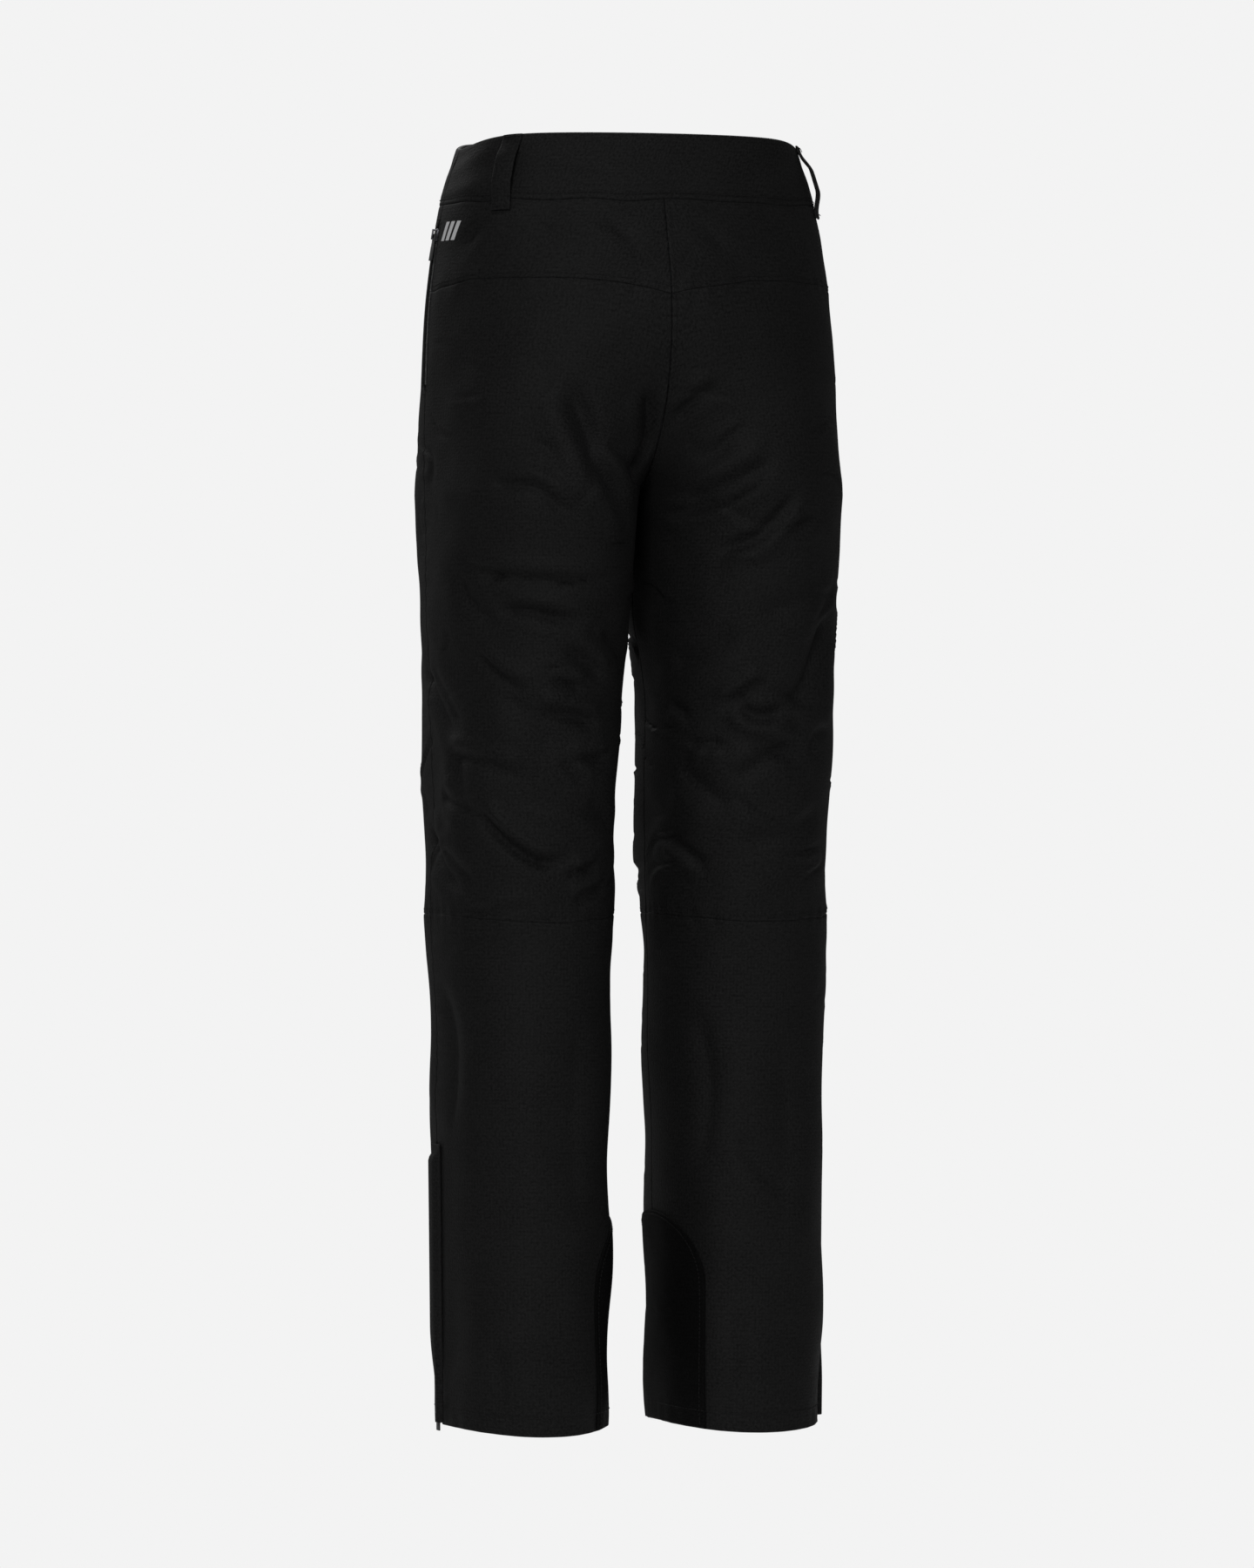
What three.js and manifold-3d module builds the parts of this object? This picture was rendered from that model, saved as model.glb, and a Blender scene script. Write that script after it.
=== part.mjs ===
// Insulated ski pants, hanging as worn, as separate sewn panels, zips and fasteners.
//
// Frame: millimetres, +Z up, the wearer faces -Y and the wearer's left is +X.
// The origin is the centre of the waist opening, level with the waist edge.
//
// Every panel is a strip of one garment surface. A point on it is named by
//   side   1 on the wearer's left, -1 on the right
//   turn   -1 at the centre front or inside leg, -0.5 in front, 0 at the side seam,
//          0.5 behind, 1 at the centre back or inside leg
//   drop   distance below the waist edge, measured down the side seam
//   depth  distance in from the outer face of the shell fabric, negative outside it
import * as THREE from "three";
import Module from "manifold-3d";
import { mergeVertices } from "three/addons/utils/BufferGeometryUtils.js";

// ---------------------------------------------------------------- driving sizes
const OUTSEAM = 1030;
const RISE = 285; // waist edge to crotch point
const BAND_HEIGHT = 54;
const KNEE_DROP = 620;
const FORK_HEIGHT = 165; // over which the seat closes from two legs into one tube

// Half-widths from the centre plane, and depths before and behind the side seam.
const WAIST = { outer: 138, front: 92, back: 92 };
const BAND_SEAM = { outer: 152.5, front: 98, back: 104 };
const YOKE = { drop: 123, outer: 163, front: 104, back: 124 };
const HIP = { drop: 180, outer: 166.5, front: 108.5, back: 132 };
const CROTCH = { outer: 168.5, front: 112, back: 128 };
const THIGH_TOP = { below_crotch: 119, outer: 164.5, inner: 6, front: 106, back: 116 };
const THIGH = { below_crotch: 165, outer: 163.5, inner: 11, front: 103, back: 110 };
const KNEE = { outer: 160.5, inner: 16.5, front: 93, back: 88 };
const CALF = { below_knee: 180, outer: 157.5, inner: 20.5, front: 84, back: 88 };
const HEM = { outer: 155, inner: 22, front: 79, back: 86 };
const SQUARENESS = 2.15; // 2 is an ellipse, more is squarer
const FRONT_SPREAD = 0.62; // how the half ring shares its turn between side and centre

// Cloth thicknesses, and the gaps between layers and between panels.
const SHELL = 2.2;
const BAND = 5;
const LINING = 2.5;
const LINING_SHORT = 12; // how far the lining stops above the hem
const LAYER_GAP = 1.6;
const LINING_DEPTH = 7; // shell, wadding and whatever lies between it and the lining
const SEAM_GAP = 0.4;
const BAG = 1.8;

// The bends: where the legs leave the hips, and the knees.
const GROIN_LIFT = 60; // how much higher the hip bend starts at the side than at the crotch
const GROIN_ZONE = 162;
const KNEE_ZONE = 190;

// Belt loops.
const LOOP_WIDTH = 16;
const LOOP_CLOTH = 2;
const LOOP_LIFT = 9.6; // room for a belt behind the loop
const LOOP_LENGTH = BAND_HEIGHT + 8;
const LOOP_FOOT = 5;
const LOOP_RAMP = 9;
const LOOP_INSET = 1; // below the waist edge
const LOOP_TURNS = { left: { back: 0.25, front: -0.5 }, right: { back: 0.08, front: -0.5 } };

// Zips: slots in the shell, chain, slider and pull.
const SLOT = 10;
const SLOT_RAMP = 6;
const SINK = 2; // how far a zip lies below the face of the shell
const CHAIN = 1.6;
const SLIDER_WIDTH = 8;
const SLIDER_LENGTH = 10;
const SLIDER_OUT = 2.4;
const SLIDER_IN = 2.4;
const ARCH_WIDTH = 2.4;
const ARCH_LENGTH = 8.4;
const ARCH_LEG = 1.2;
const ARCH_GAP = 2;
const PULL_WIDTH = 6;
const PULL_LENGTH = 21;
const PULL_BAR = 1.2;
const PULL_EYE = 4.8;
const PULL_SIDE = 1.2;
const POCKET = { from: BAND_HEIGHT + 18, to: 198, bag_turn: -0.42, bag_gap: 3, bag_below: 14 };
const FLY = { from: BAND_HEIGHT + 10, to: 168, cloth: 2, under: 6, width: 36, end: 10, rounding: 42 };
const LEG_ZIP = { length: 225, covered: 140, stop: 6, above_hem: 19 };
const FLAP = { cloth: 1.4, overlap: 3, root: 6, side_gap: 1.5, lift: 0.8 };
const GUSSET = { width: 44, cloth: 1 };
const CLEARANCE = 0.6; // between a zip's moving pieces and the cloth over or under them

// Waist tab and its press studs.
const TAB = { root: 8, reach: 46, lift: 1.4, cloth: 2.5, edge: 3 };
const STUD = { spacing: 21, first: 14, base: 5, plate: 0.7, knob: 3, neck: 2.4 };
const CAP = { radius: 7.5, height: 1.5, post: 5, bore: 3.4, wall: 1 };
const FIT = 0.3;

// Ankle: scuff guard on the inside, and the snow gaiter within.
const GUARD = { height: 174, side: 116, half_turn: 0.285, cloth: 1.2 };
const GUARD_LIFT = 0.4;
const GAITER = { top: 850, end_above_hem: 18, gap: 1.5, taper: 13, cloth: 1.4, elastic: 3.2 };

// ---------------------------------------------------------------- garment surface
const LANDMARKS = [
  { drop: 0, inner: 0, ...WAIST },
  { drop: BAND_HEIGHT, inner: 0, ...BAND_SEAM },
  { inner: 0, ...YOKE },
  { inner: 0, ...HIP },
  { drop: RISE, inner: 0, ...CROTCH },
  { drop: RISE + THIGH_TOP.below_crotch, ...THIGH_TOP },
  { drop: RISE + THIGH.below_crotch, ...THIGH },
  { drop: KNEE_DROP, ...KNEE },
  { drop: KNEE_DROP + CALF.below_knee, ...CALF },
  { drop: OUTSEAM, ...HEM },
];

// The size named key at a drop, as a smooth curve through the landmarks.
function sizeAt(key, drop) {
  const last = LANDMARKS.length - 1;
  let i = 0;
  while (i < last - 1 && drop > LANDMARKS[i + 1].drop) i += 1;
  const slope = (j) => {
    const a = LANDMARKS[Math.max(0, j - 1)];
    const b = LANDMARKS[Math.min(last, j + 1)];
    return (b[key] - a[key]) / (b.drop - a.drop);
  };
  const [a, b] = [LANDMARKS[i], LANDMARKS[i + 1]];
  const span = b.drop - a.drop;
  const s = THREE.MathUtils.clamp((drop - a.drop) / span, 0, 1);
  const rise = s * s * (3 - 2 * s);
  return (
    a[key] + (b[key] - a[key]) * rise +
    slope(i) * span * s * (1 - s) ** 2 -
    slope(i + 1) * span * s * s * (1 - s)
  );
}

const squared = (c) => Math.sign(c) * Math.abs(c) ** (2 / SQUARENESS);

// A point on the outer face of the shell.
function skin(side, turn, drop) {
  const t = turn > 1 ? turn - 2 : turn < -1 ? turn + 2 : turn;
  const outer = sizeAt("outer", drop);
  const inner = sizeAt("inner", drop);
  const reach = t < 0 ? -sizeAt("front", drop) : sizeAt("back", drop);
  const closing = THREE.MathUtils.clamp((RISE - drop) / FORK_HEIGHT, 0, 1) * Math.PI / 2;
  const open = Math.sin(closing);
  const angle = Math.PI * Math.abs(t);
  const spread = (Math.PI / 2) * Math.abs(t) ** FRONT_SPREAD;
  const legX = (outer + inner) / 2 + ((outer - inner) / 2) * squared(Math.cos(angle));
  const legY = reach * squared(Math.sin(angle));
  const halfX = outer * squared(Math.cos(spread));
  const halfY = reach * squared(Math.sin(spread));
  const centreDrop = open < 1 ? RISE - FORK_HEIGHT * (1 - Math.cos(closing)) : drop;
  const atCentre = drop < RISE ? Math.abs(t) ** 4 : 0;
  return new THREE.Vector3(
    side * (legX + (halfX - legX) * open + SEAM_GAP / 2),
    legY + (halfY - legY) * open,
    -(drop + (centreDrop - drop) * atCentre),
  );
}

// Position, outward normal, downward and sideways directions at a point of the shell.
function frameAt(side, turn, drop, depth = 0) {
  const closed = drop >= RISE;
  const step = 0.004;
  const [t0, t1] = closed ? [turn - step, turn + step] : [Math.max(-1, turn - step), Math.min(1, turn + step)];
  const [d0, d1] = [Math.max(0, drop - 1), Math.min(OUTSEAM, drop + 1)];
  const across = skin(side, t1, drop).sub(skin(side, t0, drop)).normalize();
  const down = skin(side, turn, d1).sub(skin(side, turn, d0)).normalize();
  const out = new THREE.Vector3().crossVectors(across, down).multiplyScalar(-side).normalize();
  down.crossVectors(out, across).multiplyScalar(side * Math.sign(-down.clone().cross(out).dot(across) || 1));
  if (down.z > 0) down.negate();
  const point = skin(side, turn, drop).addScaledVector(out, -depth);
  const overCentre = SEAM_GAP / 2 - side * point.x;
  if (!closed && overCentre > 0) point.x += side * overCentre;
  if (drop === 0 || drop === OUTSEAM) point.z = -drop;
  return { point, out, down, across };
}

// Turn that lies a distance in millimetres from another, along a level of the garment.
function turnBy(side, turn, drop, distance) {
  const start = skin(side, turn, drop);
  let [near, far] = [0, 0.5 * Math.sign(distance)];
  for (let i = 0; i < 24; i += 1) {
    const middle = (near + far) / 2;
    if (skin(side, turn + middle, drop).distanceTo(start) < Math.abs(distance)) near = middle;
    else far = middle;
  }
  return turn + near;
}

const lerp = THREE.MathUtils.lerp;

// The side and turn of the point x millimetres to the wearer's left of the centre front.
function frontAt(x, drop) {
  const side = x < 0 ? -1 : 1;
  let [near, far] = [-1, -0.3];
  for (let i = 0; i < 30; i += 1) {
    const middle = (near + far) / 2;
    if (Math.abs(skin(side, middle, drop).x) < Math.abs(x)) near = middle;
    else far = middle;
  }
  return { side, turn: near };
}

// Drops from one level to another that include the given stops and leave no step over a length.
function levels(from, to, stops, step) {
  const marks = [from, ...stops.filter((d) => d > from + 1 && d < to - 1), to].sort((a, b) => a - b);
  const found = [from];
  for (let i = 1; i < marks.length; i += 1) {
    const count = Math.max(1, Math.ceil((marks[i] - marks[i - 1]) / step));
    for (let k = 1; k <= count; k += 1) found.push(lerp(marks[i - 1], marks[i], k / count));
  }
  return found;
}
const constant = (value) => (typeof value === "function" ? value : () => value);

// ---------------------------------------------------------------- solids from strips
// A closed solid between two depths over a grid of columns and rows.
// columns(u, drop) gives {side, turn}; top and bottom give the drops of each column's ends.
// rows is a number of equal steps, or the drops between the ends where the grid must have a row.
function sheet({ columns, across, top, bottom, rows: wanted, outside, inside, ring = false }) {
  const [topAt, bottomAt] = [constant(top), constant(bottom)];
  const [outAt, inAt] = [constant(outside), constant(inside)];
  const count = ring ? across : across + 1;
  const stops = Array.isArray(wanted) ? wanted : null;
  const rows = stops ? stops.length + 1 : wanted;
  const positions = [];
  for (const depthAt of [outAt, inAt]) {
    for (let j = 0; j <= rows; j += 1) {
      const v = j / rows;
      for (let i = 0; i < count; i += 1) {
        const u = i / across;
        const nominal = columns(u, RISE);
        const [start, end] = [topAt(nominal.turn), bottomAt(nominal.turn)];
        const drop = stops ? [start, ...stops, end][j] : lerp(start, end, v);
        const { side, turn } = columns(u, drop);
        positions.push(...frameAt(side, turn, drop, depthAt(v, u, drop)).point);
      }
    }
  }
  const layer = count * (rows + 1);
  const at = (i, j, inner) => (inner ? layer : 0) + j * count + (i % count);
  const faces = [];
  const quad = (a, b, c, d) => faces.push(a, b, c, a, c, d);
  for (let j = 0; j < rows; j += 1) {
    for (let i = 0; i < across; i += 1) {
      quad(at(i, j, 0), at(i, j + 1, 0), at(i + 1, j + 1, 0), at(i + 1, j, 0));
      quad(at(i, j, 1), at(i + 1, j, 1), at(i + 1, j + 1, 1), at(i, j + 1, 1));
    }
  }
  for (let i = 0; i < across; i += 1) {
    quad(at(i, 0, 0), at(i + 1, 0, 0), at(i + 1, 0, 1), at(i, 0, 1));
    quad(at(i, rows, 0), at(i, rows, 1), at(i + 1, rows, 1), at(i + 1, rows, 0));
  }
  if (!ring) {
    for (let j = 0; j < rows; j += 1) {
      quad(at(0, j, 0), at(0, j, 1), at(0, j + 1, 1), at(0, j + 1, 0));
      quad(at(across, j, 0), at(across, j + 1, 0), at(across, j + 1, 1), at(across, j, 1));
    }
  }
  const geometry = new THREE.BufferGeometry();
  geometry.setAttribute("position", new THREE.Float32BufferAttribute(positions, 3));
  geometry.setIndex(faces);
  return facingOut(geometry);
}

// Turns a closed mesh's faces round if they point inwards.
function facingOut(geometry) {
  const p = geometry.getAttribute("position");
  const index = geometry.getIndex().array;
  const [a, b, c] = [new THREE.Vector3(), new THREE.Vector3(), new THREE.Vector3()];
  let volume = 0;
  for (let i = 0; i < index.length; i += 3) {
    a.fromBufferAttribute(p, index[i]);
    b.fromBufferAttribute(p, index[i + 1]);
    c.fromBufferAttribute(p, index[i + 2]);
    volume += a.dot(b.cross(c));
  }
  if (volume < 0) {
    for (let i = 0; i < index.length; i += 3) [index[i + 1], index[i + 2]] = [index[i + 2], index[i + 1]];
  }
  geometry.computeVertexNormals();
  return geometry;
}

// Columns of one side from turn a to turn b, each a number or a function of the drop. The
// side seam is where the hips curve most, so columns crowd towards it: turn goes as a power.
const CROWDING = 1.3;
const powered = (value, power) => Math.sign(value) * Math.abs(value) ** power;
const between = (side, a, b) => (u, drop) => {
  const [start, end] = [a, b].map((edge) => powered(constant(edge)(drop), 1 / CROWDING));
  return { side, turn: powered(lerp(start, end, u), CROWDING) };
};

// Columns that run on one side to the centre seam and back on the other side.
const acrossCentre = (turn, centre) => (u) => {
  const half = Math.abs(2 * u - 1);
  return { side: u < 0.5 ? 1 : -1, turn: lerp(centre, turn, half) };
};

// ---------------------------------------------------------------- booleans
const wasm = await Module();
wasm.setup();

function solid(geometry) {
  const bare = geometry.index ? geometry.toNonIndexed() : geometry.clone();
  bare.deleteAttribute("normal");
  bare.deleteAttribute("uv");
  const merged = mergeVertices(bare, 1e-4);
  return new wasm.Manifold(
    new wasm.Mesh({
      numProp: 3,
      vertProperties: merged.getAttribute("position").array,
      triVerts: new Uint32Array(merged.getIndex().array),
    }),
  );
}

function geometryOf(manifold) {
  const mesh = manifold.getMesh();
  const geometry = new THREE.BufferGeometry();
  geometry.setAttribute("position", new THREE.Float32BufferAttribute(mesh.vertProperties, 3));
  geometry.setIndex(Array.from(mesh.triVerts));
  geometry.computeVertexNormals();
  return geometry;
}

// A box from its lowest and highest corners in a local frame: across, down, out.
function block([x0, y0, z0], [x1, y1, z1]) {
  const box = new THREE.BoxGeometry(x1 - x0, y1 - y0, z1 - z0);
  return solid(box.translate((x0 + x1) / 2, (y0 + y1) / 2, (z0 + z1) / 2));
}

// Places a local solid on the garment: its X runs across, its Y down and its Z out.
function placed(manifold, frame) {
  const across = new THREE.Vector3().crossVectors(frame.down, frame.out).normalize();
  const basis = new THREE.Matrix4().makeBasis(across, frame.down, frame.out);
  return geometryOf(manifold).applyMatrix4(basis.setPosition(frame.point));
}

// ---------------------------------------------------------------- materials
const cloth = (color, roughness = 0.85) => new THREE.MeshStandardMaterial({ color, roughness, metalness: 0 });
const SHELL_CLOTH = cloth(0x17171a, 0.72);
const LINING_CLOTH = cloth(0x232326, 0.6);
const ZIP_TAPE = cloth(0x0d0d0f, 0.8);
const RUBBER = cloth(0x111113, 0.65);
const METAL = new THREE.MeshStandardMaterial({ color: 0x3a3a3d, roughness: 0.35, metalness: 1 });

const group = new THREE.Group();

function add(name, geometry, material) {
  const mesh = new THREE.Mesh(geometry, material);
  mesh.name = name;
  group.add(mesh);
}

const SIDES = [
  { side: 1, word: "left" },
  { side: -1, word: "right" },
];

// ---------------------------------------------------------------- seam lines
const half = SEAM_GAP / 2;
const PANEL_COLUMNS = 10; // from a side seam to the centre or to the inside leg
const PANEL_ROW = 45; // tallest step between rows in the hip front
const YOKE_SWEEP = { lift: 7, side: 8, centre: 10 };
const yokeSeam = (turn) => {
  const [atSide, atCentre] = [(1 - Math.min(1, Math.abs(turn) * 5)) ** 2, Math.abs(turn) ** 3];
  return YOKE.drop - YOKE_SWEEP.lift + YOKE_SWEEP.side * atSide + YOKE_SWEEP.centre * atCentre;
};
const groinTop = (turn) => RISE - GROIN_LIFT * Math.cos((Math.PI * turn) / 2) ** 2;
const groinEnd = (turn) => groinTop(turn) + GROIN_ZONE;
const kneeTop = KNEE_DROP - KNEE_ZONE / 2;
const kneeEnd = KNEE_DROP + KNEE_ZONE / 2;
const zipTop = OUTSEAM - LEG_ZIP.length;

// How wide a zip's slot is at a drop: full over its length, closing over a short ramp.
function slotAt(from, to, drop) {
  const inside = Math.min(drop - (from - SLOT_RAMP), to + SLOT_RAMP - drop) / SLOT_RAMP;
  return SLOT * THREE.MathUtils.clamp(inside, 0, 1);
}
const slotStops = ({ from, to }) => [from - SLOT_RAMP, from, to, to + SLOT_RAMP];
const sideBy = (side, distance) => (drop) => turnBy(side, 0, drop, constant(distance)(drop));
const insideFront = (side) => (drop) => turnBy(side, -1, drop, half);
const insideBack = (side) => (drop) => turnBy(side, 1, drop, -half);

// ---------------------------------------------------------------- waistband
function waistband() {
  const strip = { top: 0, bottom: BAND_HEIGHT - half, rows: 2, outside: 0, inside: BAND };
  add(
    "waistband_back",
    sheet({ ...strip, columns: acrossCentre(turnBy(1, 0, BAND_HEIGHT, half), 1), across: 2 * PANEL_COLUMNS }),
    SHELL_CLOTH,
  );
  for (const { side, word } of SIDES) {
    add(
      `waistband_front_${word}`,
      sheet({ ...strip, columns: between(side, -1, turnBy(side, 0, BAND_HEIGHT, -half)), across: PANEL_COLUMNS }),
      SHELL_CLOTH,
    );
  }
}

function beltLoops() {
  const lift = (v) => {
    const along = Math.min(v, 1 - v) * LOOP_LENGTH;
    const s = THREE.MathUtils.clamp((along - LOOP_FOOT) / LOOP_RAMP, 0, 1);
    return LAYER_GAP + (LOOP_LIFT - LAYER_GAP) * s * s * (3 - 2 * s);
  };
  for (const { side, word } of SIDES) {
    for (const [place, turn] of Object.entries(LOOP_TURNS[word])) {
      const columns = (u, drop) => ({ side, turn: turnBy(side, turn, drop, (u - 0.5) * LOOP_WIDTH) });
      add(
        `belt_loop_${place}_${word}`,
        sheet({
          columns, across: 1, top: LOOP_INSET, bottom: LOOP_INSET + LOOP_LENGTH, rows: 12,
          outside: (v) => -lift(v) - LOOP_CLOTH, inside: (v) => -lift(v),
        }),
        SHELL_CLOTH,
      );
    }
  }
}

// ---------------------------------------------------------------- shell panels
function hipPanels() {
  const top = BAND_HEIGHT + half;
  const faces = { outside: 0, inside: SHELL };
  const lowestStop = Math.max(POCKET.to + SLOT_RAMP, groinTop(0) - PANEL_ROW / 2);
  const stops = levels(top, lowestStop, [...slotStops(FLY), ...slotStops(POCKET)], PANEL_ROW).slice(1);
  for (const { side, word } of SIDES) {
    const behind = between(side, sideBy(side, half), 1);
    const pocketEdge = sideBy(side, (drop) => -half - slotAt(POCKET.from, POCKET.to, drop));
    const flyEdge = (drop) => {
      const width = side < 0 ? slotAt(FLY.from, FLY.to, drop) : 0;
      return width > 0 ? frontAt(side * width, drop).turn : -1;
    };
    add(
      `yoke_${word}`,
      sheet({
        ...faces, columns: behind, across: PANEL_COLUMNS, top, bottom: (t) => yokeSeam(t) - half, rows: 2,
      }),
      SHELL_CLOTH,
    );
    add(
      `seat_${word}`,
      sheet({
        ...faces, columns: behind, across: PANEL_COLUMNS,
        top: (t) => yokeSeam(t) + half, bottom: (t) => groinTop(t) - half, rows: 5,
      }),
      SHELL_CLOTH,
    );
    add(
      `hip_front_${word}`,
      sheet({
        ...faces, columns: between(side, flyEdge, pocketEdge), across: PANEL_COLUMNS,
        top, bottom: (t) => groinTop(t) - half, rows: stops,
      }),
      SHELL_CLOTH,
    );
    add(
      `groin_${word}`,
      sheet({
        ...faces, columns: between(side, -1, 1), across: 2 * PANEL_COLUMNS, ring: true,
        top: (t) => groinTop(t) + half, bottom: (t) => groinEnd(t) - half, rows: 4,
      }),
      SHELL_CLOTH,
    );
  }
}

// Top edge of the scuff guard, a half ellipse over the inside leg seam.
function guardTop(turn) {
  const share = Math.min(1, Math.abs(turn - 1) / GUARD.half_turn);
  return OUTSEAM - GUARD.side - (GUARD.height - GUARD.side) * Math.sqrt(1 - share * share);
}

function legPanels() {
  const faces = { outside: 0, inside: SHELL, across: PANEL_COLUMNS };
  const zipSlot = (drop) => half + (drop > zipTop - SLOT_RAMP ? slotAt(zipTop, 2 * OUTSEAM, drop) / 2 : 0);
  const stops = levels(kneeEnd + half, OUTSEAM, [zipTop - SLOT_RAMP, zipTop], 80).slice(1, -1);
  for (const { side, word } of SIDES) {
    const thigh = { ...faces, top: (t) => groinEnd(t) + half, bottom: kneeTop - half, rows: 2 };
    const shin = { ...faces, top: kneeEnd + half, bottom: OUTSEAM, rows: stops };
    add(
      `thigh_front_${word}`,
      sheet({ ...thigh, columns: between(side, insideFront(side), sideBy(side, -half)) }),
      SHELL_CLOTH,
    );
    add(
      `thigh_back_${word}`,
      sheet({ ...thigh, columns: between(side, sideBy(side, half), insideBack(side)) }),
      SHELL_CLOTH,
    );
    add(
      `knee_${word}`,
      sheet({
        ...faces, columns: between(side, -1, 1), across: 2 * PANEL_COLUMNS, ring: true,
        top: kneeTop + half, bottom: kneeEnd - half, rows: 3,
      }),
      SHELL_CLOTH,
    );
    add(
      `shin_front_${word}`,
      sheet({ ...shin, columns: between(side, insideFront(side), sideBy(side, (d) => -zipSlot(d))) }),
      SHELL_CLOTH,
    );
    add(
      `shin_back_${word}`,
      sheet({ ...shin, columns: between(side, sideBy(side, zipSlot), insideBack(side)) }),
      SHELL_CLOTH,
    );
    add(
      `scuff_guard_${word}`,
      sheet({
        columns: between(side, 1 - GUARD.half_turn, 1 + GUARD.half_turn), across: PANEL_COLUMNS,
        top: guardTop, bottom: OUTSEAM - 1, rows: 3, outside: -GUARD_LIFT - GUARD.cloth, inside: -GUARD_LIFT,
      }),
      SHELL_CLOTH,
    );
  }
}

// ---------------------------------------------------------------- inside layers
function linings() {
  const layer = { outside: LINING_DEPTH, inside: LINING_DEPTH + LINING, across: 2 * PANEL_COLUMNS };
  const bagDepth = SHELL + LAYER_GAP;
  for (const { side, word } of SIDES) {
    add(
      `lining_hips_${word}`,
      sheet({
        ...layer, columns: between(side, -1, 1), top: BAND_HEIGHT + half,
        bottom: (t) => groinTop(t) - half, rows: 6,
      }),
      LINING_CLOTH,
    );
    add(
      `lining_leg_${word}`,
      sheet({
        ...layer, columns: between(side, -1, 1), ring: true,
        top: (t) => groinTop(t) + half, bottom: OUTSEAM - LINING_SHORT, rows: 9,
      }),
      LINING_CLOTH,
    );
    add(
      `pocket_bag_${word}`,
      sheet({
        columns: between(side, POCKET.bag_turn, sideBy(side, -SLOT - POCKET.bag_gap)), across: 5,
        top: POCKET.from, bottom: POCKET.to + POCKET.bag_below, rows: 3,
        outside: bagDepth, inside: bagDepth + BAG,
      }),
      LINING_CLOTH,
    );
    const clear = layer.inside + GAITER.gap;
    const inset = (v) => clear + GAITER.taper * v;
    const cuff = (v) => (v > 0.95 ? (GAITER.elastic - GAITER.cloth) / 2 : 0);
    add(
      `gaiter_${word}`,
      sheet({
        columns: between(side, -1, 1), across: 2 * PANEL_COLUMNS, ring: true, top: GAITER.top,
        bottom: OUTSEAM - GAITER.end_above_hem, rows: 4,
        outside: (v) => inset(v) - cuff(v), inside: (v) => inset(v) + GAITER.cloth + cuff(v),
      }),
      LINING_CLOTH,
    );
  }
}

// ---------------------------------------------------------------- zips
const ARCH_TOP = SLIDER_OUT + ARCH_GAP + ARCH_LEG; // a slider's height over the middle of its chain
const OVER_ZIP = ARCH_TOP - SINK + CLEARANCE; // how far cloth must stand off to clear a slider

// The slider's body and the arch that holds its pull, lengthwise along Y.
function slider() {
  const w = SLIDER_WIDTH / 2;
  const [top, shoulder, foot] = [-SLIDER_LENGTH / 2, -SLIDER_LENGTH * 0.32, SLIDER_LENGTH / 2];
  const outline = new THREE.Shape();
  outline.moveTo(-w, shoulder);
  outline.quadraticCurveTo(-w, top, 0, top);
  outline.quadraticCurveTo(w, top, w, shoulder);
  outline.lineTo(w * 0.62, foot);
  outline.lineTo(-w * 0.62, foot);
  outline.closePath();
  const depth = SLIDER_OUT + SLIDER_IN;
  const body = new THREE.ExtrudeGeometry(outline, { depth, bevelEnabled: false, curveSegments: 4 });
  const made = solid(body.translate(0, 0, -SLIDER_IN));
  const [a, l] = [ARCH_WIDTH / 2, ARCH_LENGTH / 2];
  const arch = block([-a, -l, SLIDER_OUT - 0.5], [a, l, ARCH_TOP]);
  const gap = block([-a - 1, -l + ARCH_LEG, SLIDER_OUT], [a + 1, l - ARCH_LEG, ARCH_TOP - ARCH_LEG]);
  return made.add(arch).subtract(gap);
}

// The pull: a bar through the slider's arch, two sides and a grip that hangs down.
function pull(length) {
  const [w, b] = [PULL_WIDTH / 2, PULL_BAR / 2];
  const plate = block([-w, -b, -b], [w, length - 2, b]);
  const grip = block([-w - 0.8, length * 0.45, -b - 0.2], [w + 0.8, length, b]);
  const eye = block([-w + PULL_SIDE, b, -2], [w - PULL_SIDE, PULL_EYE, 2]);
  return plate.add(grip).subtract(eye);
}

// Chain, slider and pull of one zip, down the line where at(x, drop) puts x = 0. The chain
// stops short of the slider, which stands at its upper end or, for a hem zip, at its lower end.
function zip(name, at, { from, to }, sliderDrop, pullLength) {
  const below = sliderDrop > (from + to) / 2;
  const keep = SLIDER_LENGTH / 2 + FIT;
  add(
    `${name}_chain`,
    sheet({
      columns: (u, drop) => at((u - 0.5) * (SLOT - 4 * FIT), drop), across: 1, rows: 4,
      outside: SINK - CHAIN / 2, inside: SINK + CHAIN / 2,
      top: below ? from : sliderDrop + keep, bottom: below ? sliderDrop - keep : to,
    }),
    ZIP_TAPE,
  );
  const { side, turn } = at(0, sliderDrop);
  const frame = frameAt(side, turn, sliderDrop, SINK);
  add(`${name}_slider`, placed(slider(), frame), METAL);
  const pivot = frame.point.clone().addScaledVector(frame.out, SLIDER_OUT + ARCH_GAP / 2);
  add(`${name}_pull`, placed(pull(pullLength), { ...frame, point: pivot }), RUBBER);
}

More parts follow.
